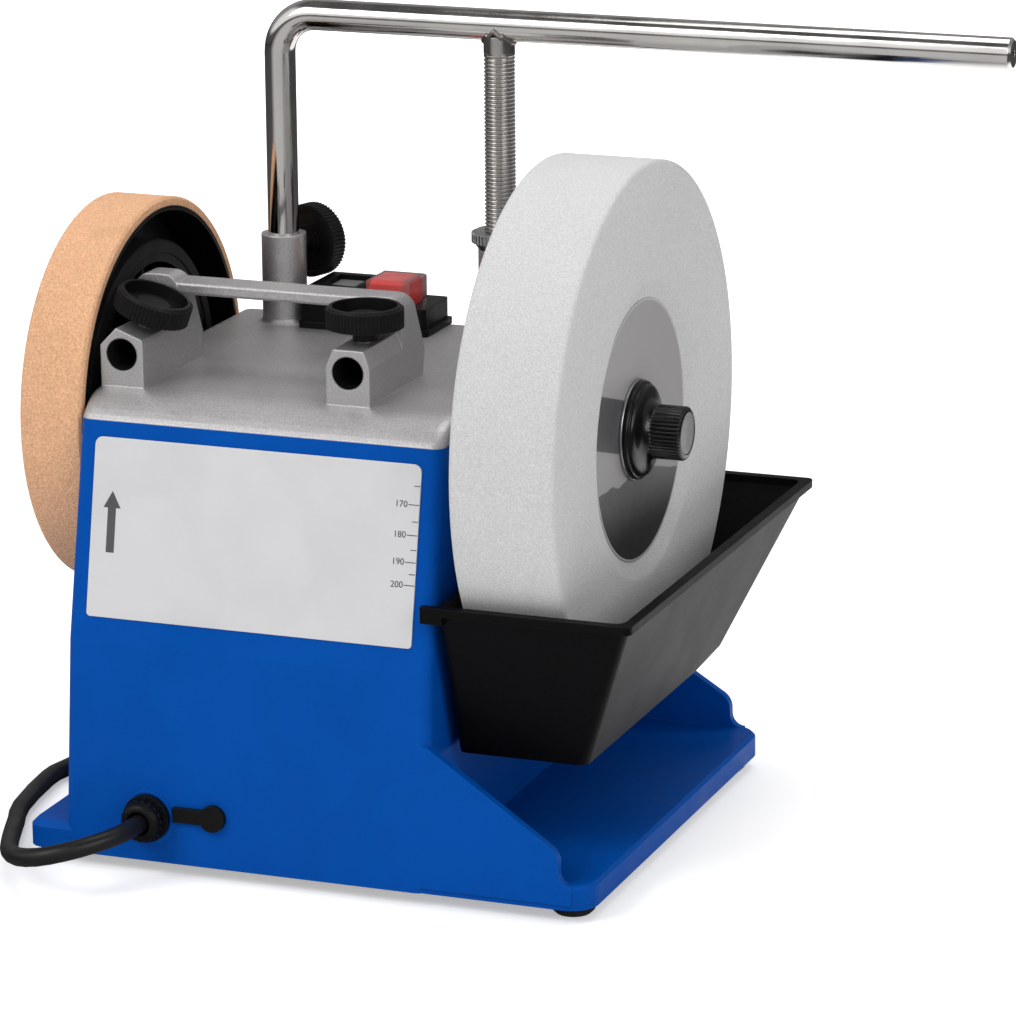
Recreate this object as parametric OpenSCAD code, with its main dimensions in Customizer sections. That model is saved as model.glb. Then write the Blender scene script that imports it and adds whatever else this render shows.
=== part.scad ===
// Wet grinding sharpener: a water-cooled stone and a leather honing wheel on one
// slow shaft, in a moulded casing under a cast top that carries the tool support.
// Millimetres. Machine frame: X along the shaft, stone to the right; Y to the
// back; Z up from the bench. The finished model is shifted so that its origin
// lies on the bench under the middle of the machine's box.

/* [Stone and shaft] */
// Diameter of the grindstone
stone_d = 200; // [170:1:205]
// Width of the grindstone
stone_w = 40; // [30:1:42]
// Diameter of the main shaft
shaft_d = 12; // [10:0.5:14]
// Height of the shaft's axis above the bench
shaft_h = 158.2; // [157:0.1:159]
// Gap between the casing's right wall and the stone
stone_gap = 10.8; // [9:0.1:12]
// Diameter of the label disc on the stone
disc_d = 98; // [80:1:110]
// Diameter of the washer and of the lock nut's flange
nut_flange_d = 37; // [30:1:45]
// Diameter of the lock nut's knurled barrel
nut_barrel_d = 20; // [18:0.5:24]
// Length of the lock nut's knurled barrel
nut_barrel_l = 13; // [10:1:20]

/* [Honing wheel] */
// Diameter over the leather
wheel_d = 147.5; // [142:0.5:150]
// Width of the honing wheel
wheel_w = 25.2; // [24:0.2:30]
// Thickness of the leather
leather_t = 3.5; // [2:0.5:4]
// Thickness of the drum's rim under the leather
drum_rim_t = 1.9; // [1.5:0.1:2.2]
// Gap between the casing's left wall and the wheel
wheel_gap = 1.6; // [1.4:0.1:4]
// Outer diameter of the rubber friction ring
friction_d = 114; // [106:1:114]
// Radial thickness of the rubber friction ring
friction_t = 5; // [3:0.5:7]

/* [Casing] */
// Width of the casing at its top
casing_w = 143.4; // [140:0.2:146]
// Depth of the casing at its top
casing_d = 156; // [152:1:160]
// Height of the seam between casing and top
seam_h = 165.5; // [165:0.1:168]
// Height of the bend in the front and back walls
knee_h = 85; // [75:1:95]
// How far the walls stand out at the bend, front and back
knee_out = 16; // [12:1:18]
// How far the walls stand out at the bottom, front and back
foot_out = 23; // [20:1:26]
// How far each side wall stands out at the bottom
side_out = 0.8; // [0.5:0.1:1.5]
// Radius of the casing's upright corners
corner_r = 4.5; // [4:0.5:8]
// Wall of the casing
casing_wall = 3; // [2:0.1:3.6]

/* [Base] */
// Free height under the base, which the rubber feet fill
foot_h = 5; // [4:0.5:8]
// Diameter of a rubber foot
foot_d = 16; // [12:1:20]
// Reach of the base to the right of the casing's top
tray_reach = 63.4; // [58:0.1:70]
// Reach of the base to the left of the casing's top
flange_reach = 16.2; // [14:0.1:20]
// Height of the base under the trough
tray_t = 9; // [7:0.5:12]
// Height of the base flange under the honing wheel
flange_t = 10.5; // [9:0.5:14]
// Height above the bench at which the two gussets start
gusset_h = 59; // [50:0.5:64]
// Thickness of a gusset
gusset_t = 3.5; // [2.5:0.1:4.5]
// Thickness of the cover under the motor bay
cover_t = 2; // [1.5:0.1:2.5]

/* [Top casting] */
// Height of the casting's flat top above the seam
top_rise = 9.5; // [8:0.5:11]
// Depth of the rounded front shoulder
front_shoulder = 20; // [16:1:22]
// Bore of the four tool support sleeves
sleeve_bore = 12.1; // [12.1:0.02:12.2]
// Distance between the sleeves of a pair
sleeve_pitch = 90.2; // [88:0.1:92]
// Distance of the left sleeves from the casing's middle
sleeve_left = 46.2; // [45:0.1:48]
// Height of the front sleeves' bores above the bench
front_bore_h = 186.8; // [186:0.1:189]
// Depth of the front sleeves' bores
front_bore_l = 45; // [35:1:46]
// Width of a front sleeve
front_sleeve_w = 17.1; // [16.5:0.1:19]
// Distance of the rear sleeves behind the shaft
rear_sleeve_y = 54.9; // [53:0.1:57]
// Outer diameter of a rear sleeve
rear_sleeve_d = 17.4; // [17:0.1:18]
// Height of the rear sleeves' rims above the bench
rear_sleeve_top = 210; // [206:0.5:214]
// Height of the handle bar's top face above the bench
handle_h = 207.8; // [205:0.2:210]
// Depth of the handle bar, front to back
handle_d = 13; // [11:0.5:14]
// Thickness of the handle bar
handle_t = 4.5; // [4:0.5:7]

/* [Tool support] */
// Diameter of the support's bar and legs
bar_d = 12; // [11.9:0.05:12]
// Height of the bar's axis above the bench
bar_h = 296.1; // [285:0.1:330]
// Length of the bar, from the left leg's axis to its free end
bar_l = 290.3; // [240:0.1:300]
// Radius of the bend's centre line
bend_r = 15; // [12:1:20]
// Height above the bench at which the legs end
leg_end_h = 152; // [150:0.5:158]
// Diameter of the height adjusting nut
adjust_d = 22.5; // [20:0.5:25]
// Height of the height adjusting nut
adjust_t = 7; // [6:0.5:10]

/* [Locking knobs] */
// Diameter of a knob
knob_d = 28.8; // [24:0.2:29]
// Height of a knob's knurled skirt
knob_h = 8; // [7:0.5:10]
// Number of knurls round a knob
knob_knurls = 60; // [24:2:60]
// Gap between a sleeve and the knob's skirt
knob_neck = 5.2; // [4:0.2:7]
// Diameter of the lock screws
screw_d = 8; // [6:0.5:8]

/* [Switch] */
// Width of the switch's base
switch_w = 54; // [52:0.5:55]
// Depth of the switch's base
switch_d = 28; // [26:0.5:30]
// Height of the collar round the start button
collar_h = 17; // [15:0.5:17]
// Height of the low part of the switch
switch_low = 10.5; // [8:0.5:12]
// Height of the stop button's face above the casting
stop_h = 20; // [17:0.5:22]
// Width and depth of the stop button
stop_w = 18; // [14:0.2:18]
// Travel of both buttons
button_travel = 3; // [2:0.5:3.5]

/* [Trough] */
// Height of the trough's rim above the bench
trough_rim_h = 112; // [108:0.5:113]
// Height of the trough's floor above the bench, outside
trough_floor_h = 52; // [50:0.5:53]
// Wall of the trough
trough_wall = 2.2; // [1.6:0.1:2.6]
// Length of the trough over its rim
trough_l = 217; // [204:1:220]
// Width of the trough over its rim
trough_w = 74; // [73:0.5:80]
// Gap between the casing and the trough's back
trough_gap = 3.6; // [3.3:0.1:4]

/* [Motor] */
// Diameter of the motor
motor_d = 90; // [80:1:94]
// Length of the motor's body
motor_l = 80; // [60:1:90]
// Diameter of the motor's drive shaft
drive_d = 9.5; // [9:0.1:9.5]
// Width of the motor's cooling fan
fan_w = 12; // [8:1:14]

/* [Fits] */
// Radial clearance of a shaft that turns in a bore
running = 0.05; // [0.03:0.01:0.1]
// Gap between pieces that move past each other
free_gap = 0.3; // [0.2:0.05:0.5]
// Gap between fixed pieces that slip into each other
slip = 0.1; // [0.05:0.01:0.2]

/* [Cord] */
// Diameter of the mains cord
cord_d = 7; // [6:0.5:8]

/* [Hidden] */
$fn = 96;

// Colours
blue = [0.02, 0.27, 0.66];
zinc = [0.66, 0.66, 0.67];
steel = [0.75, 0.75, 0.77];
black = [0.06, 0.06, 0.065];
grey = [0.45, 0.45, 0.46];
stone_grey = [0.78, 0.78, 0.77];
tan_leather = [0.83, 0.62, 0.42];
red = [0.8, 0.1, 0.08];

// Casing
half_w = casing_w / 2;
half_d = casing_d / 2;
base_w2 = half_w + side_out;
foot_d2 = half_d + foot_out;
knee_d2 = half_d + knee_out;
base_left = -half_w - flange_reach;
base_right = half_w + tray_reach;
tray_top = foot_h + tray_t;
flange_top = foot_h + flange_t;
base_d2 = wall_out(tray_top);
top_h = seam_h + top_rise;
// Outer face of the front and back walls at height z, as a distance from the shaft
function wall_out(z) = z > knee_h
    ? half_d + knee_out * (seam_h - z) / (seam_h - knee_h)
    : knee_d2 + (foot_out - knee_out) * (knee_h - z) / (knee_h - foot_h);
// Outer face of the side walls at height z
function side_at(z) = half_w + side_out * (seam_h - z) / (seam_h - foot_h);

// Base
tray_corner = 10;
flange_corner = 6;
foot_x = [base_left + 12, base_right - 11];
foot_y = base_d2 - 14;
foot_peg_r = 3;
foot_peg_l = 4;
gusset_end = base_right - 12;
gusset_shoulder = 7;
gusset_fillet = 5;
gusset_slope = 33;

// Screws that hold the cover under the motor bay and the top casting
cover_screw_r = 1.8;
cover_inset = casing_wall + 0.5;
cover_screw_x = half_w - 12;
cover_screw_y = foot_d2 - 14;
cover_top = foot_h + cover_t + 0.4;
casting_screw_r = 1.85;
post_x = half_w - 11;
post_y = half_d - 12;
post_z = seam_h - 16;
post_r = 5;

// Label on the front
label_w = 129;
label_l = 66.5;
label_t = 0.5;
label_x = 0.2;
label_top_gap = 5.8;
label_tilt = atan2(knee_out, seam_h - knee_h);
foot_tilt = atan2(foot_out - knee_out, knee_h - foot_h);

// Shaft group
stone_x = half_w + stone_gap;
stone_end = stone_x + stone_w;
wheel_x = -half_w - wheel_gap;
wheel_end = wheel_x - wheel_w;
shaft_r = shaft_d / 2;
bush_wall = 3;
bush_r = shaft_r + bush_wall;
lug_r = bush_r + 4;
lug_l = 20;
lug_nose = 1.5;
clip_t = 1.2;
washer_t = 1.2;
disc_t = 0.4;
dish_r = 56;
dish_depth = 0.6;
stone_bore = shaft_d + 0.3;
stone_arris = 1.5;
nut_flange_t = 4.5;
nut_x = stone_end - dish_depth + disc_t + washer_t;
nut_end = nut_x + nut_flange_t + nut_barrel_l;
leather_r = wheel_d / 2;
rim_r = leather_r - leather_t;
drum_r = rim_r - drum_rim_t;
friction_r = friction_d / 2;
hub_ring_r = friction_r - friction_t;
hub_ring_t = 3.5;
hub_r = 15;
drum_ribs = 8;
web_t = 3;
web_x = wheel_end + 4.5;
friction_x = wheel_x - 3.8;
friction_w = 13;
honing_nut_d = 34;
honing_nut_t = 11;
honing_nut_x = wheel_end + 2;
honing_nut_end = honing_nut_x - honing_nut_t;
shaft_left = honing_nut_end + 2;
shaft_right = nut_end - 4;

// Drive: the motor shaft runs on the outside of the friction ring
drive_r = drive_d / 2;
motor_r = motor_d / 2;
motor_z = shaft_h - friction_r - drive_r - free_gap;
motor_x0 = -half_w + casing_wall + 12;
motor_x1 = motor_x0 + motor_l;
bell_t = 11;
bracket_t = 2.5;
pin_d = 8;
pin_y = 36;
pin_z = shaft_h - 8;
drive_hole_r = drive_r + 6;
bracket_y = -motor_r - 5;
bracket_z = motor_z + 6;
bracket_h = 14;
spring_r = 5;
spring_wire = 0.9;
spring_turns = 7;
spring_z0 = bracket_z + bracket_h + free_gap;
pin_lug_t = 6;
pin_lug_r = pin_d / 2 + 4;
pin_lug_x = [motor_x0 + 4 + free_gap, motor_x1 - 4 - free_gap - pin_lug_t];

// Top casting
casting_wall = 4.5;
shoulder_r = (pow(front_shoulder, 2) + pow(top_rise, 2)) / (2 * top_rise);
edge_r = 4;
sleeve_right = sleeve_pitch - sleeve_left;
front_bore_y = -62.5;
front_left_x = -sleeve_left - 14.9;
front_right_x = front_left_x + sleeve_pitch;
bore_r = sleeve_bore / 2;
crown = 8.5;
front_screw_y = -45.3;
tower_y0 = front_screw_y + knob_d / 2 + 0.4;
tower_y1 = -8.7;
tower_top_y1 = -20;
tower_shoulder_r = 5.5;
boss_top = front_bore_h + crown;
lean = 19;
rear_screw_z = 204.4;
rear_screw_turn = -18;
sleeve_root = seam_h - 4;
spring_z1 = top_h - casting_wall - free_gap;
knob_bowl = 3;
front_base = crown + knob_neck;
left_base = front_base - 1;
rear_base = rear_sleeve_d / 2 + knob_neck - 0.8;

// Tool support
bar_r = bar_d / 2;
leg_left = -sleeve_left;
leg_right = sleeve_right;
bar_end = leg_left + bar_l;

// Switch
switch_x0 = -sleeve_left + rear_sleeve_d / 2 + 0.6;
switch_y0 = 45;
switch_mid = switch_y0 + switch_d / 2;
switch_flange_t = 2.5;
switch_lip = 1.3;
collar_w = 25.5;
start_w = 13;
stop_x = switch_x0 + collar_w + 1.5 + stop_w / 2;
start_x = switch_x0 + switch_lip + collar_w / 2 + 1.5;
start_h = collar_h - 2;
button_depth = 10;

// Trough
trough_x0 = side_at(trough_rim_h) + trough_gap;
trough_y0 = -97;
trough_x1 = trough_x0 + trough_w;
trough_y1 = trough_y0 + trough_l;
rim_t = 3;
rim_lip = 2.2;
floor_w = 50;
floor_y0 = -76;
floor_y1 = 50;
step_y = 76;
step_h = 3;

// T-shaped rails on which the trough slides
rail_y = 52;
rail_z0 = 74;
rail_z1 = 106;
rail_stem = 4;
rail_head = 9;
rail_head_t = 1.2;
rail_x = trough_x0 - 0.4;

// Place of the finished model: its box without the cord is centred on the origin
box_left = honing_nut_end;
box_right = bar_end;
box_front = -foot_d2;
box_back = trough_y1;
origin = [(box_left + box_right) / 2, (box_front + box_back) / 2, 0];

// Cord: gland, route over the bench to the coil, coil, route on to the plug
cord_r = cord_d / 2;
gland_x = -37.8;
gland_z = 21.9;
gland_d = 18;
gland_l = 9;
gland_stem_r = 7;
gland_boss_r = gland_d / 2 + 1;
gland_y = -wall_out(gland_z - gland_boss_r);
strap_z = 24;
coil_x = -33.3;
coil_y = 168;
coil_r = 42;
coil_columns = 3;
coil_layers = 2;
cord_points = [
    [gland_x, gland_y - 3, gland_z], [gland_x, -110, gland_z], [-39.9, -120.7, 21.4],
    [-46, -129.8, 20], [-55.1, -135.9, 17.8], [-65.5, -137.4, 15.2], [-75.3, -133.5, 13],
    [-84, -122.5, 10.6], [-91.3, -108, 8], [-98.6, -91.5, 5.6], [-105.8, -73.5, 4],
    [-112.5, -55.5, cord_r], [-116.6, -38, cord_r], [-117.6, -22, cord_r], [-115.8, -5, cord_r],
    [-110.8, 25, cord_r], [-104.3, 60, cord_r], [-96.3, 98, cord_r], [-87.3, 135, cord_r],
    [coil_x - coil_r - cord_d, coil_y, cord_r]
];
plug_x = -16.3;
plug_y = 236;
plug_z = 8;
tail_points = [
    [-67.9, 202.6, 3 * cord_r], [-59.3, 211, 10], [-49.3, 220, 8], [-38.3, 228, 6], [-27.3, 234, 7],
    [plug_x, plug_y, plug_z]
];

module machine() {
    translate(-origin) children();
}

// ---------------------------------------------------------------- helpers

// Points of a rounded rectangle, low corner p, high corner q
function rounded_points(p, q, r, n = 6) = [
    for (c = [[q[0] - r, q[1] - r, 0], [p[0] + r, q[1] - r, 90],
              [p[0] + r, p[1] + r, 180], [q[0] - r, p[1] + r, 270]])
        for (i = [0 : n])
            [c[0] + r * cos(c[2] + 90 * i / n), c[1] + r * sin(c[2] + 90 * i / n)]
];
// Points along an arc
function arc(c, r, a0, a1, n = 12) = [
    for (i = [0 : n]) let (a = a0 + (a1 - a0) * i / n) [c[0] + r * cos(a), c[1] + r * sin(a)]
];

// Upright slab with rounded corners, exact
module rounded_slab(p, q, r, h) {
    linear_extrude(h) {
        translate([p[0] + r, p[1]]) square([q[0] - p[0] - 2 * r, q[1] - p[1]]);
        translate([p[0], p[1] + r]) square([q[0] - p[0], q[1] - p[1] - 2 * r]);
        for (x = [p[0] + r, q[0] - r], y = [p[1] + r, q[1] - r])
            translate([x, y]) circle(r);
    }
}

// Thin level of a hull
module level(p, q, r, z) {
    translate([0, 0, z]) linear_extrude(0.01) polygon(rounded_points(p, q, r));
}

// Outline in X and Z, standing from y0 to y1
module slice_y(y0, y1) {
    translate([0, y1, 0]) rotate([90, 0, 0]) linear_extrude(y1 - y0) children();
}

// Outline in Y and Z, standing from x0 to x1
module slice_x(x0, x1) {
    translate([x0, 0, 0]) rotate([90, 0, 90]) linear_extrude(x1 - x0) children();
}

// Round piece on the shaft's axis, from x0 to x1
module disc_x(x0, x1, r) {
    translate([x0, 0, shaft_h]) rotate([0, 90, 0]) cylinder(r = r, h = x1 - x0);
}

// Revolved outline on the shaft's axis: [radius, x] points
module revolve_x(points) {
    translate([0, 0, shaft_h]) rotate([0, 90, 0]) rotate_extrude() polygon(points);
}

// Knurled outline: n ridges that stand out by depth
module knurled(r, n, depth) {
    polygon([
        for (i = [0 : n - 1]) for (k = [[0.1, 0], [0.4, 0], [0.6, 1], [0.9, 1]])
            let (a = 360 * (i + k[0]) / n, q = r - depth * k[1])
                [q * cos(a), q * sin(a)]
    ]);
}

// ---------------------------------------------------------------- casing and base

// Outside of the casing, grown inwards by t
module casing_body(t, z0, z1) {
    hull()
        for (z = [z0, knee_h, z1])
            level([-side_at(z) + t, -wall_out(z) + t], [side_at(z) - t, wall_out(z) - t],
                max(corner_r - t, 2), z);
}

// Base under the trough, with a small bevel round its upper edge
module tray_body() {
    bevel = 1.2;
    hull() {
        level([0, -base_d2], [base_right, base_d2], tray_corner, foot_h);
        level([0, -base_d2], [base_right, base_d2], tray_corner, tray_top - bevel);
        level([0, -base_d2 + bevel], [base_right - bevel, base_d2 - bevel], tray_corner - bevel, tray_top);
    }
}

// Base flange under the honing wheel
module flange_body() {
    bevel = 2.5;
    hull() {
        level([base_left, -base_d2], [0, base_d2], flange_corner, foot_h);
        level([base_left, -base_d2], [0, base_d2], flange_corner, flange_top - bevel);
        level([base_left + bevel, -base_d2 + bevel], [0, base_d2 - bevel], flange_corner - bevel, flange_top);
    }
}

// Hollow undersides of the tray and of the flange
module base_pockets() {
    inner_d2 = base_d2 - casing_wall;
    translate([0, 0, foot_h - 1]) {
        rounded_slab([base_w2, -inner_d2], [base_right - casing_wall, inner_d2],
            tray_corner - casing_wall, tray_t - casing_wall + 1);
        rounded_slab([base_left + casing_wall, -inner_d2], [-base_w2, inner_d2],
            flange_corner - casing_wall, flange_t - casing_wall + 1);
    }
}

// Outline of a gusset: a slope that ends in a round shoulder and a fillet
module gusset_outline() {
    shoulder_x = gusset_end - gusset_shoulder;
    shoulder_z = gusset_h - (shoulder_x - half_w) * tan(gusset_slope)
        - gusset_shoulder / cos(gusset_slope);
    fillet_x = gusset_end + gusset_fillet;
    polygon(concat(
        [[half_w - corner_r, foot_h + 2], [half_w - corner_r, gusset_h], [half_w, gusset_h]],
        arc([shoulder_x, shoulder_z], gusset_shoulder, 90 - gusset_slope, 0, 8),
        arc([fillet_x, tray_top + gusset_fillet], gusset_fillet, 180, 270, 6),
        [[fillet_x, foot_h + 2]]
    ));
}

module gusset() {
    intersection() {
        slice_y(-foot_d2 - 1, -knee_d2 + 12) gusset_outline();
        slice_x(0, base_right) polygon([
            [-wall_out(foot_h), foot_h], [-wall_out(foot_h) + gusset_t, foot_h],
            [-wall_out(knee_h) + gusset_t, knee_h], [-wall_out(knee_h), knee_h]
        ]);
    }
}

// T-shaped rail on which the trough slides
module rail() {
    slice_x(half_w - 1, rail_x)
        translate([-rail_stem / 2, rail_z0]) square([rail_stem, rail_z1 - rail_z0]);
    slice_x(rail_x - rail_head_t, rail_x)
        translate([-rail_head / 2, rail_z0]) square([rail_head, rail_z1 - rail_z0]);
}

// Post that stands at [x, y] from z0 to z1, with a web to the nearer side wall
module webbed_post(x, y, z0, z1, r, hole_r, hole_top) {
    $fn = 48;
    web_l = half_w - abs(x) - 1;
    translate([x, y, z0]) difference() {
        union() {
            cylinder(r = r, h = z1 - z0);
            translate([x > 0 ? 0 : -web_l, -1.2, 0]) cube([web_l, 2.4, z1 - z0]);
        }
        translate([0, 0, -1]) cylinder(r = hole_r, h = hole_top - z0 + 1);
    }
}

module casing() {
    machine() color(blue) {
        difference() {
            union() {
                casing_body(0, foot_h, seam_h - 0.01);
                tray_body();
                flange_body();
                for (m = [0, 1]) mirror([0, m, 0]) {
                    gusset();
                    translate([0, rail_y, 0]) rail();
                }
                // flat boss under the cord gland
                translate([gland_x, gland_y, gland_z]) rotate([-90, 0, 0])
                    cylinder(r = gland_boss_r, h = casing_wall);
            }
            // motor bay
            casing_body(casing_wall, foot_h - 1, seam_h + 1);
            base_pockets();
            // notches for the bearing lugs
            for (side = [-1, 1])
                translate([side * half_w, 0, shaft_h]) {
                    rotate([0, 90, 0]) cylinder(r = lug_r + free_gap, h = 20, center = true);
                    translate([-10, -lug_r - free_gap, 0]) cube([20, 2 * (lug_r + free_gap), 20]);
                }
            // hole for the drive shaft
            translate([-half_w, 0, motor_z]) rotate([0, 90, 0])
                cylinder(r = drive_hole_r, h = 20, center = true);
            // hole for the cord gland
            translate([gland_x, gland_y - 1, gland_z]) rotate([-90, 0, 0])
                cylinder(r = gland_stem_r + slip, h = 12);
        }
        // ribs under the tray
        for (y = [-1, 0, 1])
            translate([base_w2 - 0.5, y * rail_y - 1, foot_h + 0.5])
                cube([base_right - base_w2 - casing_wall + 1, 2, tray_t - casing_wall]);
        // sockets for the pegs of the feet
        for (x = foot_x, y = [-foot_y, foot_y])
            difference() {
                translate([x, y, foot_h]) cylinder(r = foot_peg_r + 2.4, h = (x < 0 ? flange_t : tray_t) - 1);
                translate([x, y, foot_h - 1]) cylinder(r = foot_peg_r, h = foot_peg_l + 1.5);
            }
        for (x = [-1, 1], y = [-1, 1]) {
            webbed_post(x * cover_screw_x, y * cover_screw_y, cover_top, cover_top + 18,
                4.5, cover_screw_r + slip, cover_top + 14);
            webbed_post(x * post_x, y * post_y, post_z, seam_h, post_r, casting_screw_r + 0.3, seam_h + 1);
        }
    }
}

module bottom_cover() {
    slot_n = 7;
    slot_w = 4;
    slot_l = 70;
    machine() color(black) difference() {
        translate([0, 0, cover_top - cover_t])
            rounded_slab([-half_w + cover_inset, -foot_d2 + cover_inset],
                [half_w - cover_inset, foot_d2 - cover_inset], 5, cover_t);
        for (i = [0 : slot_n - 1])
            translate([(i - (slot_n - 1) / 2) * 3 * slot_w, 0, foot_h])
                rounded_slab([-slot_w / 2, -slot_l / 2], [slot_w / 2, slot_l / 2], slot_w / 2 - 0.05, 5);
        for (x = [-1, 1], y = [-1, 1])
            translate([x * cover_screw_x, y * cover_screw_y, foot_h])
                cylinder(r = cover_screw_r + 0.3, h = 5);
    }
}

module cover_screws() {
    machine() color(steel)
        for (x = [-1, 1], y = [-1, 1])
            translate([x * cover_screw_x, y * cover_screw_y, 0]) {
                translate([0, 0, cover_top - cover_t - 2]) cylinder(r = 2 * cover_screw_r, h = 2);
                translate([0, 0, cover_top - cover_t - 0.1]) cylinder(r = cover_screw_r, h = cover_t + 11);
            }
}

module rubber_feet() {
    machine() color(black)
        for (x = foot_x, y = [-foot_y, foot_y])
            translate([x, y, 0]) {
                rotate_extrude() polygon([
                    [0, 0], [foot_d / 2 - 1.5, 0], [foot_d / 2, 1.5],
                    [foot_d / 2 - 1, foot_h], [0, foot_h]
                ]);
                cylinder(r = foot_peg_r - slip, h = foot_h + foot_peg_l);
            }
}

// ---------------------------------------------------------------- label on the front
module label_plate() {
    machine() color([0.8, 0.8, 0.81])
        translate([label_x, -half_d, seam_h]) rotate([90 - label_tilt, 0, 0])
            translate([0, -label_top_gap - label_l, 0.02]) {
                rounded_slab([-label_w / 2, label_l / 2], [label_w / 2, label_l], 3, label_t);
                rounded_slab([-label_w / 2, 0], [label_w / 2, label_l - 4], 1.5, label_t);
            }
}

// ---------------------------------------------------------------- top casting

// Plate with a deep round shoulder in front and small ones at the sides and back
module casting_plate() {
    n = 8;
    hull()
        for (i = [0 : n])
            let (z = top_rise * sin(90 * i / n),
                front = front_shoulder - sqrt(pow(shoulder_r, 2) - pow(z + shoulder_r - top_rise, 2)),
                back = top_rise - sqrt(pow(top_rise, 2) - z * z),
                over = max(z - top_rise + edge_r, 0),
                side = edge_r - sqrt(pow(edge_r, 2) - over * over))
                level([-half_w + side, -half_d + front], [half_w - side, half_d - back],
                    max(corner_r - side, 3), seam_h + z);
}

// Cross-section of a front sleeve, in X from its bore's axis, with its top at z
module sleeve_outline(z, tilt) {
    w = front_sleeve_w / 2;
    foot = seam_h + 3;
    if (tilt)
        polygon([[-w, foot], [-w, z - 6.6], [-w + 6.4, z], [w - 0.4, z - 3.8], [w, z - 5.5], [w, foot]]);
    else
        polygon([[-w, foot], [-w, z - 6.4], [-w + 2.9, z], [w - 2.4, z], [w, z - 6.6], [w, foot]]);
}

// Cross-section of the round-shouldered tower behind a front sleeve, with its top at z
module tower_outline(z) {
    w = front_sleeve_w / 2;
    r = tower_shoulder_r;
    polygon(concat([[-w, seam_h + 3]], arc([r - w, z - r], r, 180, 90), arc([w - r, z - r], r, 90, 0),
        [[w, seam_h + 3]]));
}

module front_sleeve(x, tilt) {
    sleeve_top = boss_top + (tilt ? 1.3 : 0);
    top = handle_h + (tilt ? 2.8 : 0.6);
    translate([x, 0, 0]) {
        slice_y(front_bore_y, tower_y0 + 1) sleeve_outline(sleeve_top, tilt);
        intersection() {
            slice_y(tower_y0, tower_y1) tower_outline(top);
            slice_x(-front_sleeve_w, front_sleeve_w) polygon([
                [tower_y0, seam_h], [tower_y0, top], [tower_top_y1, top],
                [tower_y1, front_bore_h - 2], [tower_y1 - 2, top_h - 1], [tower_y1 - 2, seam_h]
            ]);
        }
    }
}

module rear_sleeve(x) {
    translate([x, rear_sleeve_y, 0]) {
        translate([0, 0, sleeve_root])
            cylinder(r = rear_sleeve_d / 2, h = rear_sleeve_top - sleeve_root);
        translate([0, 0, top_h]) rotate_extrude() polygon(concat(
            [[0, -1], [rear_sleeve_d / 2 + 2.5, -1]],
            arc([rear_sleeve_d / 2 + 2.5, 2.5], 2.5, 270, 180, 6),
            [[0, 2.5]]
        ));
    }
}

// Lug in which the shaft's bush sits
module bearing_lug(side) {
    x0 = half_w - lug_l + lug_nose;
    mirror([side < 0 ? 1 : 0, 0, 0]) {
        disc_x(x0, half_w + lug_nose, lug_r);
        translate([x0, -lug_r, shaft_h]) cube([lug_l, 2 * lug_r, seam_h - shaft_h + 3]);
        translate([x0, -lug_r, seam_h - 0.5]) cube([lug_l - lug_nose - 2, 2 * lug_r, top_rise - 2]);
    }
}

module pin_lug(x) {
    translate([x, 0, 0]) {
        slice_x(0, pin_lug_t) translate([pin_y - pin_lug_r, pin_z])
            square([2 * pin_lug_r, top_h - 2 - pin_z]);
        translate([0, pin_y, pin_z]) rotate([0, 90, 0]) cylinder(r = pin_lug_r, h = pin_lug_t);
    }
}

// Axis of a lock screw, pointing out of its sleeve
module at_front_screw(x, turn) {
    translate([x, front_screw_y, front_bore_h]) rotate([0, turn, 0]) children();
}
module at_rear_screw(x) {
    translate([x, rear_sleeve_y, rear_screw_z]) rotate([0, 0, rear_screw_turn])
        rotate([-90, 0, 0]) children();
}

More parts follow.
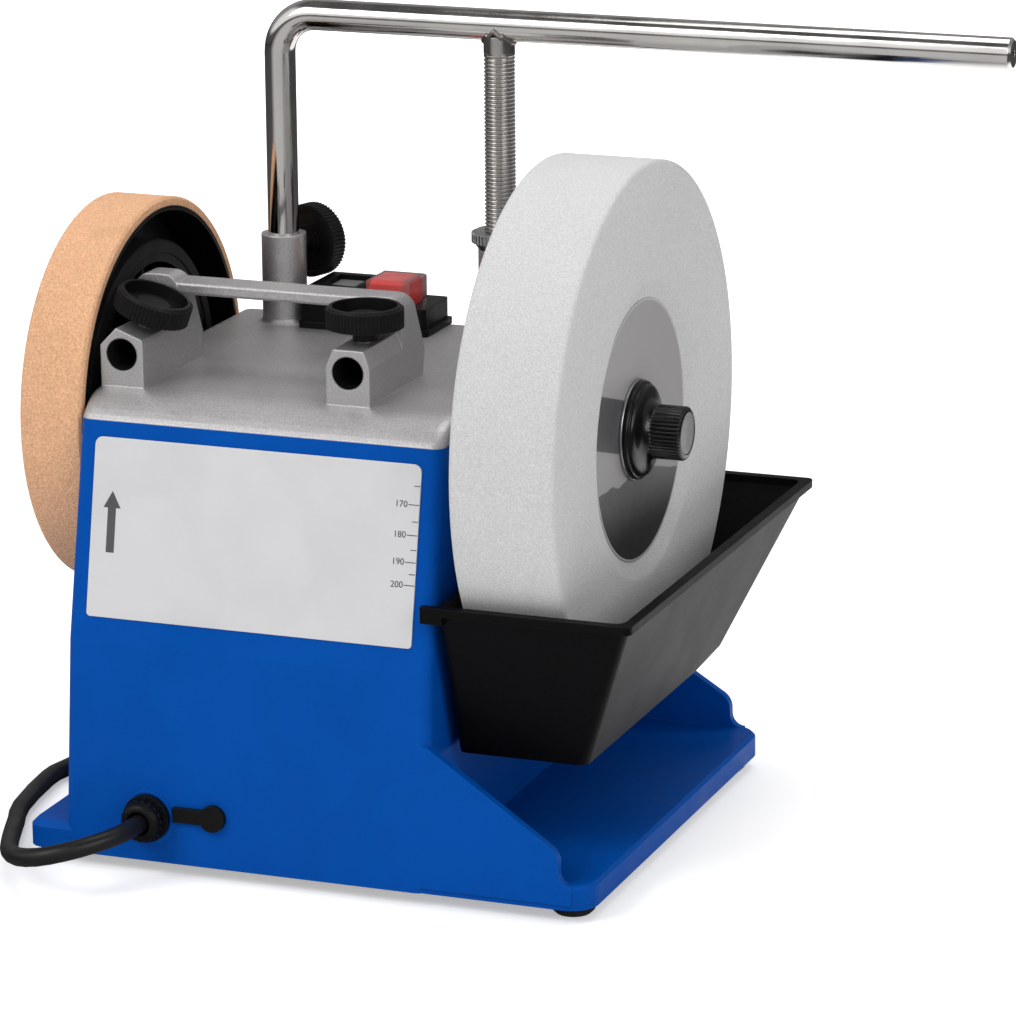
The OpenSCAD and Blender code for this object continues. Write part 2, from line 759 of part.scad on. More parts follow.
module top_casting() {
    screw_hole = screw_d / 2 + running;
    machine() color(zinc) difference() {
        union() {
            difference() {
                casting_plate();
                translate([0, 0, seam_h - 1])
                    rounded_slab([-half_w + casting_wall, -half_d + front_shoulder + 3],
                        [half_w - casting_wall, half_d - 9], 5, top_rise - casting_wall + 1);
            }
            front_sleeve(front_left_x, true);
            front_sleeve(front_right_x, false);
            rear_sleeve(leg_left);
            rear_sleeve(leg_right);
            // handle bar between the two towers
            slice_x(front_left_x + tower_shoulder_r / 2, front_right_x - tower_shoulder_r / 2)
                polygon([
                    [tower_y0 + 0.2, handle_h - handle_t + 1], [tower_y0 + 0.2, handle_h - 0.6],
                    [tower_y0 + 0.8, handle_h], [tower_y0 + handle_d, handle_h],
                    [tower_y0 + handle_d, handle_h - handle_t + 1],
                    [tower_y0 + handle_d - 1, handle_h - handle_t], [tower_y0 + 1.2, handle_h - handle_t]
                ]);
            for (side = [-1, 1]) bearing_lug(side);
            for (x = pin_lug_x) pin_lug(x);
            // screw bosses over the casing's posts
            for (x = [-1, 1], y = [-1, 1])
                translate([x * post_x, y * post_y, seam_h]) cylinder(r = post_r, h = 4);
        }
        // bores of the four sleeves
        for (x = [front_left_x, front_right_x])
            translate([x, front_bore_y - 1, front_bore_h]) rotate([-90, 0, 0])
                cylinder(r = bore_r, h = front_bore_l + 1);
        for (x = [leg_left, leg_right])
            translate([x, rear_sleeve_y, sleeve_root - 1])
                cylinder(r = bore_r, h = rear_sleeve_top - sleeve_root + 2);
        // threaded holes of the lock screws
        at_front_screw(front_left_x, lean) cylinder(r = screw_hole, h = 30);
        at_front_screw(front_right_x, 0) cylinder(r = screw_hole, h = 30);
        for (x = [leg_left, leg_right])
            at_rear_screw(x) cylinder(r = screw_hole, h = 20);
        // seats of the two bushes
        disc_x(-half_w - 10, half_w + 10, bush_r + slip / 2);
        // holes for the motor's pin
        translate([motor_x0 - 20, pin_y, pin_z]) rotate([0, 90, 0])
            cylinder(r = pin_d / 2 + slip, h = motor_l + 40);
        // holes for the casing's screws
        for (x = [-1, 1], y = [-1, 1])
            translate([x * post_x, y * post_y, seam_h - 1]) cylinder(r = casting_screw_r + 0.05, h = 5);
        // flat seat for the switch
        translate([switch_x0 - free_gap, switch_y0 - free_gap, top_h])
            cube([switch_w + 2 * free_gap, switch_d + 2 * free_gap, 6]);
    }
}

module casting_screws() {
    machine() color(steel)
        for (x = [-1, 1], y = [-1, 1])
            translate([x * post_x, y * post_y, post_z]) {
                translate([0, 0, -3]) cylinder(r = 4, h = 3);
                cylinder(r = casting_screw_r, h = seam_h - post_z + 3.5);
            }
}

// Flanged bush, flange inside the casing
module bush(side) {
    x0 = half_w - lug_l + lug_nose;
    mirror([side < 0 ? 1 : 0, 0, 0]) difference() {
        union() {
            disc_x(x0, half_w + lug_nose, bush_r);
            disc_x(x0 - 2, x0, bush_r + 2);
        }
        disc_x(x0 - 10, half_w + 10, shaft_r + running);
    }
}
module bush_left() {
    machine() color([0.72, 0.55, 0.3]) bush(-1);
}
module bush_right() {
    machine() color([0.72, 0.55, 0.3]) bush(1);
}

// ---------------------------------------------------------------- switch
module switch_housing() {
    x0 = switch_x0;
    y0 = switch_y0;
    lip = switch_lip;
    machine() color(black) difference() {
        union() {
            translate([0, 0, top_h])
                rounded_slab([x0, y0], [x0 + switch_w, y0 + switch_d], 2, switch_flange_t);
            translate([0, 0, top_h + 1])
                rounded_slab([x0 + lip, y0 + lip],
                    [x0 + switch_w - lip, y0 + switch_d - lip], 2, switch_low - 1);
            // collar with bevelled upper edges
            slice_y(y0 + lip, y0 + switch_d - lip) polygon([
                [x0 + lip, top_h + 2], [x0 + lip, top_h + collar_h - 3], [x0 + lip + 3, top_h + collar_h],
                [x0 + lip + collar_w - 3, top_h + collar_h], [x0 + lip + collar_w, top_h + collar_h - 3],
                [x0 + lip + collar_w, top_h + 2]
            ]);
        }
        translate([start_x, switch_mid, top_h + start_h - button_depth - button_travel - 1])
            well(start_w, stop_w);
        translate([stop_x, switch_mid, top_h + 1.5]) well(stop_w, stop_w);
    }
}

module well(w, d) {
    translate([-w / 2 - free_gap, -d / 2 - free_gap, 0]) cube([w + 2 * free_gap, d + 2 * free_gap, 40]);
}

module start_button() {
    machine() color(grey)
        translate([start_x, switch_mid, top_h + start_h - button_depth])
            rounded_slab([-start_w / 2, -stop_w / 2], [start_w / 2, stop_w / 2], 1, button_depth);
}

module stop_button() {
    bottom = button_travel + 2;
    machine() color(red)
        translate([stop_x, switch_mid, top_h + bottom])
            rounded_slab([-stop_w / 2, -stop_w / 2], [stop_w / 2, stop_w / 2], 0.8, stop_h - bottom);
}

// ---------------------------------------------------------------- shaft, stone, honing wheel
module main_shaft() {
    machine() color(steel) {
        disc_x(shaft_left + 1, shaft_right - 1, shaft_r);
        revolve_x([[0, shaft_left], [shaft_r - 1, shaft_left], [shaft_r, shaft_left + 1], [0, shaft_left + 1]]);
        revolve_x([[0, shaft_right - 1], [shaft_r, shaft_right - 1], [shaft_r - 1, shaft_right], [0, shaft_right]]);
    }
}

module shaft_clips() {
    x = half_w - lug_l + lug_nose - 2 - free_gap;
    machine() color(steel)
        for (side = [0, 1]) mirror([side, 0, 0]) difference() {
            disc_x(x - clip_t, x, shaft_r + 3);
            disc_x(x - 5, x + 5, shaft_r + slip / 2);
            translate([x - 5, -2.5, shaft_h]) cube([10, 5, shaft_r + 5]);
        }
}

// Spacer between the right bush and the stone, with the flange that backs the stone
module stone_flange() {
    x0 = half_w + lug_nose + free_gap;
    machine() color(black) difference() {
        revolve_x([
            [0, x0], [shaft_r + 3.5, x0], [shaft_r + 3.5, stone_x - 4], [nut_flange_d / 2 - 4, stone_x - 3],
            [nut_flange_d / 2, stone_x - 2], [nut_flange_d / 2, stone_x], [0, stone_x]
        ]);
        disc_x(x0 - 1, stone_x + 1, shaft_r + slip / 2);
    }
}

module grindstone() {
    r = stone_d / 2;
    machine() color(stone_grey)
        revolve_x(concat(
            [[stone_bore / 2, stone_x], [dish_r, stone_x]],
            arc([r - stone_arris, stone_x + stone_arris], stone_arris, 270, 360, 5),
            arc([r - stone_arris, stone_end - stone_arris], stone_arris, 0, 90, 5),
            [[dish_r + 1, stone_end], [dish_r, stone_end - dish_depth],
             [stone_bore / 2, stone_end - dish_depth]]
        ));
}

module label_disc() {
    x0 = stone_end - dish_depth;
    machine() color(grey) difference() {
        disc_x(x0, x0 + disc_t, disc_d / 2);
        disc_x(x0 - 1, x0 + 5, stone_bore / 2 + 1);
    }
}

module stone_washer() {
    x0 = stone_end - dish_depth + disc_t;
    machine() color(steel) difference() {
        disc_x(x0, x0 + washer_t, nut_flange_d / 2 + 0.4);
        disc_x(x0 - 1, x0 + 5, shaft_r + slip);
    }
}

// Lock nut: dished flange, then a finely knurled barrel that hides the shaft's end
module stone_nut() {
    fr = nut_flange_d / 2;
    br = nut_barrel_d / 2;
    x0 = nut_x + 0.02;
    machine() color(black) difference() {
        union() {
            revolve_x([
                [0, x0], [fr, x0], [fr, x0 + nut_flange_t - 1.2], [fr - 1.2, x0 + nut_flange_t],
                [fr - 3, x0 + nut_flange_t - 0.4], [br + 2, x0 + nut_flange_t - 2.4], [0, x0 + nut_flange_t - 2.4]
            ]);
            translate([x0 + 1, 0, shaft_h]) rotate([0, 90, 0])
                linear_extrude(nut_end - x0 - 2) knurled(br, 36, 0.5);
            revolve_x([[0, nut_end - 1.2], [br - 0.5, nut_end - 1.2], [br - 1.6, nut_end], [0, nut_end]]);
        }
        disc_x(x0 - 1, shaft_right + 1, shaft_r + running);
    }
}

module honing_drum() {
    machine() color(black) difference() {
        union() {
            revolve_x([
                [hub_r - 5, wheel_x - 0.5], [hub_r, wheel_x - 2], [hub_r, web_x + web_t],
                [hub_ring_r - hub_ring_t, web_x + web_t], [hub_ring_r - hub_ring_t, friction_x - 1],
                [hub_ring_r, friction_x - 1], [hub_ring_r, web_x + web_t],
                [drum_r, web_x + web_t], [drum_r + 0.3, wheel_x], [rim_r, wheel_x],
                [rim_r, wheel_end], [drum_r, wheel_end], [drum_r, web_x],
                [hub_r + 2, web_x], [hub_r + 1, honing_nut_x], [shaft_r - 1, honing_nut_x],
                [shaft_r - 1, wheel_x - 0.5]
            ]);
            for (i = [0 : drum_ribs - 1])
                translate([0, 0, shaft_h]) rotate([360 * i / drum_ribs, 0, 0])
                    translate([web_x + 1, -1, hub_r - 1])
                        cube([friction_x - 5 - web_x, 2, hub_ring_r - hub_ring_t - hub_r + 2]);
        }
        disc_x(wheel_end - 1, wheel_x + 1, shaft_r + slip / 2);
    }
}

module leather_band() {
    machine() color(tan_leather) revolve_x([
        [rim_r + 0.02, wheel_end], [leather_r - 1, wheel_end], [leather_r, wheel_end + 1],
        [leather_r, wheel_x - 1], [leather_r - 1, wheel_x], [rim_r + 0.02, wheel_x]
    ]);
}

module friction_ring() {
    x1 = friction_x - 0.5;
    machine() color([0.13, 0.13, 0.135]) revolve_x([
        [hub_ring_r + 0.02, x1 - friction_w], [friction_r - 0.8, x1 - friction_w],
        [friction_r, x1 - friction_w + 0.8], [friction_r, x1 - 0.8],
        [friction_r - 0.8, x1], [hub_ring_r + 0.02, x1]
    ]);
}

module honing_nut() {
    r = honing_nut_d / 2;
    x1 = honing_nut_x - 0.02;
    machine() color(black) difference() {
        union() {
            translate([x1 - honing_nut_t + 3.5, 0, shaft_h]) rotate([0, 90, 0])
                linear_extrude(honing_nut_t - 5) knurled(r, 30, 0.9);
            revolve_x([[0, x1], [r - 4, x1], [r - 2, x1 - 1.6], [0, x1 - 1.6]]);
            revolve_x([
                [0, x1 - honing_nut_t + 3.5], [r - 1.2, x1 - honing_nut_t + 3.5],
                [r - 3, honing_nut_end], [0, honing_nut_end]
            ]);
        }
        disc_x(shaft_left - 1, x1 + 5, shaft_r + running);
    }
}

// ---------------------------------------------------------------- motor
module on_motor(x0, x1, r) {
    translate([x0, 0, motor_z]) rotate([0, 90, 0]) cylinder(r = r, h = x1 - x0);
}

module motor_stator() {
    fins = 24;
    x0 = motor_x0 + bell_t;
    x1 = motor_x1 - bell_t;
    machine() color([0.35, 0.35, 0.37]) difference() {
        on_motor(x0, x1, motor_r);
        for (i = [0 : fins - 1])
            translate([0, 0, motor_z]) rotate([360 * i / fins, 0, 0])
                translate([x0 - 1, -1.5, motor_r - 4]) cube([x1 - x0 + 2, 3, 10]);
        on_motor(x0 - 1, x1 + 1, drive_r + 16);
    }
}

module motor_end_bells() {
    machine() color([0.6, 0.6, 0.61])
        for (m = [0, 1])
            translate([m * (motor_x0 + motor_x1), 0, 0]) mirror([m, 0, 0]) difference() {
                union() {
                    on_motor(motor_x0 + 4, motor_x0 + bell_t, motor_r - 1);
                    translate([motor_x0, 0, motor_z]) rotate([0, 90, 0])
                        cylinder(r1 = 16, r2 = 26, h = 4);
                }
                on_motor(motor_x0 - 1, motor_x0 + bell_t + 1, drive_r + running);
            }
}

// Two cheeks that hang the motor from its pin, joined by a plate over the stator
module motor_bracket() {
    cheek = [motor_x0 + 4 - bracket_t, motor_x1 - 4];
    eye_r = pin_d / 2 + 5;
    hang = atan2(pin_y, pin_z - motor_z);
    reach = norm([pin_y, pin_z - motor_z]);
    machine() color([0.5, 0.5, 0.52]) difference() {
        union() {
            for (x = cheek) {
                translate([x, pin_y, pin_z]) rotate([0, 90, 0]) cylinder(r = eye_r, h = bracket_t);
                on_motor(x, x + bracket_t, 32);
                translate([x, 0, motor_z]) rotate([-hang, 0, 0])
                    translate([0, -eye_r, 0]) cube([bracket_t, 2 * eye_r, reach]);
                translate([x, bracket_y, bracket_z]) cube([bracket_t, motor_r, bracket_h]);
            }
            translate([cheek[0], bracket_y, bracket_z])
                cube([cheek[1] - cheek[0] + bracket_t, 2, bracket_h]);
        }
        for (x = cheek) {
            on_motor(x - 1, x + bracket_t + 1, 27);
            translate([x - 1, pin_y, pin_z]) rotate([0, 90, 0])
                cylinder(r = pin_d / 2 + slip, h = bracket_t + 2);
        }
    }
}

module motor_pin() {
    machine() color(steel)
        translate([motor_x0 - 1, pin_y, pin_z]) rotate([0, 90, 0])
            cylinder(r = pin_d / 2, h = motor_l + 2);
}

// Spring between the casting and the bracket's front plate
module motor_spring() {
    steps = 12;
    sides = 6;
    rings = spring_turns * steps;
    rise = spring_z1 - spring_z0 - 2 * spring_wire;
    point = function(i, k)
        let (a = 360 * i / steps, b = 360 * k / sides, q = spring_r + spring_wire * cos(b))
            [q * cos(a), q * sin(a), spring_wire + rise * i / rings + spring_wire * sin(b)];
    machine() color(steel)
        translate([(motor_x0 + motor_x1) / 2, bracket_y + 1, spring_z0])
            polyhedron(
                points = [for (i = [0 : rings]) for (k = [0 : sides - 1]) point(i, k)],
                faces = concat(
                    [[for (k = [0 : sides - 1]) k]],
                    [for (i = [0 : rings - 1]) for (k = [0 : sides - 1])
                        [i * sides + k, (i + 1) * sides + k,
                         (i + 1) * sides + (k + 1) % sides, i * sides + (k + 1) % sides]],
                    [[for (k = [sides - 1 : -1 : 0]) rings * sides + k]]
                )
            );
}

module capacitor() {
    machine() color([0.55, 0.56, 0.58])
        translate([motor_x0 + 6, knee_d2 - casing_wall - 19, cover_top])
            rotate([0, 90, 0]) translate([-13, 0, 0]) {
                cylinder(r = 13, h = 48);
                translate([0, 0, 48]) cylinder(r = 4, h = 5);
            }
}

module motor_shaft() {
    machine() color(steel) {
        on_motor(web_x + web_t + 2.5, motor_x1 + fan_w + 4, drive_r);
        on_motor(motor_x0 + bell_t + 2, motor_x1 - bell_t - 2, drive_r + 15);
    }
}

module motor_fan() {
    blades = 9;
    x0 = motor_x1 + 1.5;
    machine() color(black) difference() {
        union() {
            on_motor(x0, x0 + fan_w, drive_r + 5);
            on_motor(x0, x0 + 1.5, motor_r - 10);
            for (i = [0 : blades - 1])
                translate([x0 + 1, 0, motor_z]) rotate([360 * i / blades, 0, 0])
                    translate([0, -0.8, drive_r + 4]) cube([fan_w - 3, 1.6, motor_r - drive_r - 15]);
        }
        on_motor(x0 - 1, x0 + fan_w + 1, drive_r + slip / 2);
    }
}

// ---------------------------------------------------------------- tool support
module support_bar() {
    machine() color(steel) translate([0, rear_sleeve_y, 0]) difference() {
        union() {
            translate([leg_left + bend_r, 0, bar_h]) rotate([0, 90, 0])
                cylinder(r = bar_r, h = bar_end - leg_left - bend_r - 1);
            translate([bar_end - 1, 0, bar_h]) rotate([0, 90, 0])
                cylinder(r1 = bar_r, r2 = bar_r - 1, h = 1);
            translate([leg_left, 0, leg_end_h + 1])
                cylinder(r = bar_r, h = bar_h - bend_r - leg_end_h - 1);
            translate([leg_left, 0, leg_end_h]) cylinder(r1 = bar_r - 1, r2 = bar_r, h = 1);
            translate([leg_left + bend_r, 0, bar_h - bend_r]) rotate([90, 0, 0])
                rotate([0, 0, 90]) rotate_extrude(angle = 90) translate([bend_r, 0]) circle(bar_r);
        }
        translate([bar_end - 3, 0, bar_h]) rotate([0, 90, 0]) cylinder(r = 1.2, h = 5);
    }
}

module threaded_leg() {
    machine() color(steel) translate([leg_right, rear_sleeve_y, 0]) difference() {
        union() {
            translate([0, 0, leg_end_h + 1]) cylinder(r = bar_r, h = bar_h - leg_end_h - 1);
            translate([0, 0, leg_end_h]) cylinder(r1 = bar_r - 1, r2 = bar_r, h = 1);
        }
        translate([-20, 0, bar_h]) rotate([0, 90, 0]) cylinder(r = bar_r + 0.02, h = 40);
        translate([-bar_r, bar_r - 0.8, leg_end_h - 1]) cube([2 * bar_r, 2, bar_h - bar_r - 8 - leg_end_h]);
    }
}

module adjusting_nut() {
    z0 = rear_sleeve_top + free_gap;
    r = adjust_d / 2;
    cone_h = 3;
    knurl_depth = 0.4;
    machine() color([0.5, 0.5, 0.52]) translate([leg_right, rear_sleeve_y, z0]) difference() {
        union() {
            rotate_extrude() polygon([
                [0, 0], [rear_sleeve_d / 2, 0], [r - knurl_depth - 0.2, cone_h],
                [r - knurl_depth - 0.2, adjust_t - 1], [r - knurl_depth - 1.2, adjust_t], [0, adjust_t]
            ]);
            translate([0, 0, cone_h - 0.5]) linear_extrude(adjust_t - cone_h - 0.2)
                knurled(r, 40, knurl_depth);
        }
        translate([0, 0, -1]) cylinder(r = bar_r + running, h = adjust_t + 2);
    }
}

// ---------------------------------------------------------------- locking knobs
// Knob on a lock screw's axis: its neck ends just off the sleeve at seat, its skirt
// starts at base, and it is hollow above and below a web
module knob(base, seat) {
    r = knob_d / 2;
    cup_r = r - 2.3;
    hub_r = screw_d / 2 + 2.2;
    web_z = 1.6;
    web_t = 1.6;
    difference() {
        union() {
            translate([0, 0, base]) linear_extrude(knob_h - 1) knurled(r, knob_knurls, 0.45);
            translate([0, 0, base + knob_h - 1]) rotate_extrude()
                polygon([[0, 0], [r - 0.45, 0], [r - 1.2, 1], [0, 1]]);
            translate([0, 0, seat + free_gap]) cylinder(r = screw_d / 2 + 0.6, h = base - seat);
        }
        translate([0, 0, base + web_z + web_t]) ring(hub_r, cup_r, knob_h);
        translate([0, 0, base - 1]) ring(hub_r, cup_r, web_z + 1);
        translate([0, 0, base + knob_h - knob_bowl]) cylinder(r = hub_r + 1, h = 5);
        translate([0, 0, seat]) cylinder(r = screw_d / 2 + 0.02, h = base + knob_h - knob_bowl - 1.8 - seat);
    }
}

module ring(inner, outer, h) {
    difference() {
        cylinder(r = outer, h = h);
        translate([0, 0, -1]) cylinder(r = inner, h = h + 2);
    }
}

// Lock screw from the bore's edge to the knob's hub
module lock_screw(base) {
    r = screw_d / 2;
    tip = bore_r + 0.4;
    translate([0, 0, tip]) cylinder(r1 = r - 1, r2 = r, h = 1);
    translate([0, 0, tip + 1]) cylinder(r = r, h = base + knob_h - knob_bowl - 2 - tip - 1);
}

module knob_front_left() {
    machine() color(black) at_front_screw(front_left_x, lean) knob(left_base, crown);
}
module knob_front_right() {
    machine() color(black) at_front_screw(front_right_x, 0) knob(front_base, crown);
}
module knob_rear_left() {
    machine() color(black) at_rear_screw(leg_left) knob(rear_base, rear_sleeve_d / 2);
}
module knob_rear_right() {
    machine() color(black) at_rear_screw(leg_right) knob(rear_base, rear_sleeve_d / 2);
}
module screw_front_left() {
    machine() color(steel) at_front_screw(front_left_x, lean) lock_screw(left_base);
}
module screw_front_right() {
    machine() color(steel) at_front_screw(front_right_x, 0) lock_screw(front_base);
}
module screw_rear_left() {
    machine() color(steel) at_rear_screw(leg_left) lock_screw(rear_base);
}
module screw_rear_right() {
    machine() color(steel) at_rear_screw(leg_right) lock_screw(rear_base);
}

// ---------------------------------------------------------------- trough
module trough_body(t, z_top) {
    z0 = trough_floor_h + t;
    top = trough_rim_h - rim_t;
    hull() {
        level([trough_x0 + t, floor_y0 + t], [trough_x0 + floor_w - t, floor_y1], 4, z0);
        level([trough_x0 + t, floor_y1], [trough_x0 + floor_w + 1.2 - t, step_y - t * 0.4], 4, z0 + step_h);
        level([trough_x0 + t, trough_y0 + rim_lip + t], [trough_x1 - rim_lip - t, trough_y1 - rim_lip - t],
            4, top);
        if (z_top > top)
            level([trough_x0 + t, trough_y0 + rim_lip + t - 0.3],
                [trough_x1 - rim_lip - t + 0.5, trough_y1 - rim_lip - t + 0.3], 4, z_top);
    }
}

// Two jaws that grip a rail of the casing
module trough_clip() {
    jaw = 2;
    lip = 0.8;
    inner = rail_head / 2 + free_gap;
    stem = rail_stem / 2 + free_gap;
    lip_x = rail_x - rail_head_t - free_gap - lip;
    z0 = rail_z0 + 4;
    h = rail_z1 - rail_z0 - 8;
    for (m = [0, 1]) mirror([0, m, 0]) {
        translate([lip_x, inner, z0]) cube([trough_x0 - lip_x + 0.5, jaw, h]);
        translate([lip_x, stem, z0]) cube([lip, inner + jaw - stem, h]);
    }
}

module water_trough() {
    lug_w = 6;
    machine() color(black) {
        difference() {
            union() {
                trough_body(0, 0);
                // rim with its lip on three sides
                translate([0, 0, trough_rim_h - rim_t])
                    rounded_slab([trough_x0, trough_y0], [trough_x1, trough_y1], 3, rim_t);
                // lug that reaches past the casing's corner
                translate([trough_x0 - lug_w, trough_y0, trough_rim_h - rim_t - 3])
                    rounded_slab([0, 0], [lug_w + 3, 3.6], 1, rim_t + 3);
            }
            trough_body(trough_wall, trough_rim_h + 1);
        }
        for (m = [0, 1]) mirror([0, m, 0]) translate([0, rail_y, 0]) trough_clip();
    }
}

// ---------------------------------------------------------------- cord

// Compression gland: stem through the wall, flange, rounded cap with a flared mouth
module cord_gland() {
    r = gland_d / 2;
    bore = cord_r + slip;
    machine() color(black)
        translate([gland_x, gland_y, gland_z]) rotate([90, 0, 0]) difference() {
            union() {
                translate([0, 0, -casing_wall - 4]) cylinder(r = gland_stem_r, h = casing_wall + 5);
                cylinder(r = r, h = 2.5);
                linear_extrude(gland_l - 3) knurled(r - 0.8, 18, 0.5);
                translate([0, 0, gland_l - 3]) rotate_extrude() polygon(concat(
                    [[0, 0]], arc([r - 4.3, 0], 3, 0, 90, 6), [[0, 3]]
                ));
            }
            translate([0, 0, 3]) cylinder(r = bore, h = gland_l);
            translate([0, 0, gland_l - 3]) cylinder(r1 = bore, r2 = bore + 1, h = 3.01);
        }
}

// Strap from the gland to a screwed round tab on the wall
module gland_strap() {
    tab_x = gland_x + 26;
    x0 = gland_x + gland_boss_r + free_gap;
    machine() color(black)
        translate([0, -wall_out(strap_z), strap_z]) rotate([90 - foot_tilt, 0, 0])
            translate([0, 0, 0.02]) {
                translate([x0, -2.8, 0]) cube([tab_x - x0, 5.6, 1.8]);
                translate([tab_x, 0, 0]) cylinder(r = 5, h = 2.2);
            }
}

// Point i + t of the smooth curve through the points
function at_end(p, i) = p[min(max(i, 0), len(p) - 1)];
function on_curve(p, i, t) =
    let (a = at_end(p, i - 1), b = p[i], c = at_end(p, i + 1), d = at_end(p, i + 2))
        b + t * (c - a) / 2 + t * t * (2 * a - 5 * b + 4 * c - d) / 2
            + t * t * t * (3 * b - 3 * c + d - a) / 2;
function curve(p, n) = [
    for (i = [0 : len(p) - 2]) for (k = [0 : n - 1]) on_curve(p, i, k / n), p[len(p) - 1]
];

// Tube of radius r swept through the points
module tube(p, r, sides) {
    last = len(p) - 1;
    points = [
        for (i = [0 : last])
            let (d = at_end(p, i + 1) - at_end(p, i - 1), t = d / norm(d),
                s = cross(t, [0, 0, 1]), side = s / norm(s), up = cross(side, t))
                for (k = [0 : sides - 1])
                    let (a = 360 * k / sides) p[i] + r * (cos(a) * side + sin(a) * up)
    ];
    polyhedron(points, concat(
        [[for (k = [sides - 1 : -1 : 0]) k]],
        [for (i = [0 : last - 1]) for (k = [0 : sides - 1])
            [i * sides + k, i * sides + (k + 1) % sides,
             (i + 1) * sides + (k + 1) % sides, (i + 1) * sides + k]],
        [[for (k = [0 : sides - 1]) last * sides + k]]
    ));
}

module cord_tube() {
    machine() color(black) tube(curve(cord_points, 2), cord_r, 10);
}

module cord_coil() {
    w = coil_columns * cord_d / 2;
    machine() color(black) translate([coil_x, coil_y, 0]) rotate_extrude()
        translate([coil_r - w, 0]) polygon(concat(
            arc([cord_r, cord_r], cord_r, 180, 270, 4),
            arc([2 * w - cord_r, cord_r], cord_r, 270, 360, 4),
            arc([2 * w - cord_r, coil_layers * cord_d - cord_r], cord_r, 0, 90, 4),
            arc([cord_r, coil_layers * cord_d - cord_r], cord_r, 90, 180, 4)
        ));
}

module cord_tail() {
    machine() color(black) tube(curve(tail_points, 2), cord_r, 10);
}

// Two-pin plug that lies flat, with a tapered strain relief
module plug() {
    relief_l = 18;
    body_l = 38;
    body_w = 35;
    pin_r = 2.4;
    pin_l = 19;
    machine() translate([plug_x, plug_y, plug_z]) {
        color(black) {
            rotate([0, 90, 0]) cylinder(r1 = cord_r + 0.8, r2 = 6.4, h = relief_l + 0.5);
            translate([relief_l, 0, -plug_z])
                rounded_slab([0, -body_w / 2], [body_l, body_w / 2], 6, 2 * plug_z);
        }
        color(steel) for (y = [-9.5, 9.5])
            translate([relief_l + body_l - 1, y, 0]) rotate([0, 90, 0]) {
                cylinder(r = pin_r, h = pin_l);
                translate([0, 0, pin_l]) cylinder(r1 = pin_r, r2 = pin_r - 1, h = 1);
            }
    }
}

casing();
bottom_cover();
cover_screws();
rubber_feet();
label_plate();
top_casting();
casting_screws();
bush_left();
bush_right();
switch_housing();
start_button();
stop_button();
main_shaft();
shaft_clips();
stone_flange();
grindstone();
label_disc();
stone_washer();
stone_nut();
honing_drum();
leather_band();
friction_ring();
honing_nut();
motor_stator();
motor_end_bells();
motor_bracket();
motor_pin();
motor_spring();
capacitor();
motor_shaft();
motor_fan();
support_bar();
threaded_leg();
adjusting_nut();
knob_front_left();
knob_front_right();
knob_rear_left();
knob_rear_right();
screw_front_left();
screw_front_right();
screw_rear_left();
screw_rear_right();
water_trough();
cord_gland();
gland_strap();
cord_tube();
cord_coil();
cord_tail();
plug();
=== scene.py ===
"""Dresses the wet grinding sharpener: finishes for its solids, finer pieces, cord, studio and camera."""

import logging
import math
from dataclasses import dataclass, field
from enum import Enum
from typing import ClassVar

import bpy
import numpy as np
from mathutils import Matrix, Vector


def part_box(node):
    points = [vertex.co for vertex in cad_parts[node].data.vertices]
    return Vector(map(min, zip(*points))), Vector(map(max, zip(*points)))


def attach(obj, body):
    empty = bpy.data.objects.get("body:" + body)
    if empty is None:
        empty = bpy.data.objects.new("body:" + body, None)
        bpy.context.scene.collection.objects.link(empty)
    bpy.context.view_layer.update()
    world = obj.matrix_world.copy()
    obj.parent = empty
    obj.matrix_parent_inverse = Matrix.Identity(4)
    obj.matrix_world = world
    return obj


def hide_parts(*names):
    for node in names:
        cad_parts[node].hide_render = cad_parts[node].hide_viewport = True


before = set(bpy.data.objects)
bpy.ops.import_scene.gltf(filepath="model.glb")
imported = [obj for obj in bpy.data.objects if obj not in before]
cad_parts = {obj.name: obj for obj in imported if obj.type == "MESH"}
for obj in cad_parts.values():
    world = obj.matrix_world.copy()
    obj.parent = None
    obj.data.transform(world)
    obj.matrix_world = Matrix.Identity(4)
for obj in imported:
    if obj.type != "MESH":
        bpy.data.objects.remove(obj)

LOG = logging.getLogger("sharpener")
MM = 0.001
ORIGIN_X = 68.3
ORIGIN_Y = 9.5
WHITE = (1.0, 1.0, 1.0)

Triple = tuple[float, float, float]
Colour = Triple
Points = list[Triple]
Outline = list[tuple[float, float]]
# Where a value starts and ends, and what it becomes there.
Fade = tuple[float, float, float, float]
Node = bpy.types.Node
NodeTree = bpy.types.NodeTree
Socket = bpy.types.NodeSocket
Piece = bpy.types.Object


def place(x: float, y: float, z: float) -> Vector:
    """Turns machine millimetres, with the shaft over x = y = 0, into the frame's metres."""
    return Vector(((x - ORIGIN_X) * MM, (y - ORIGIN_Y) * MM, z * MM))


def add_object(name: str, data: bpy.types.ID) -> Piece:
    """Adds an object to the scene.

    Args:
        name: its name.
        data: what it shows or holds.

    Returns:
        The new object.
    """
    made = bpy.data.objects.new(name, data)
    bpy.context.scene.collection.objects.link(made)
    return made


# ---- shader helpers

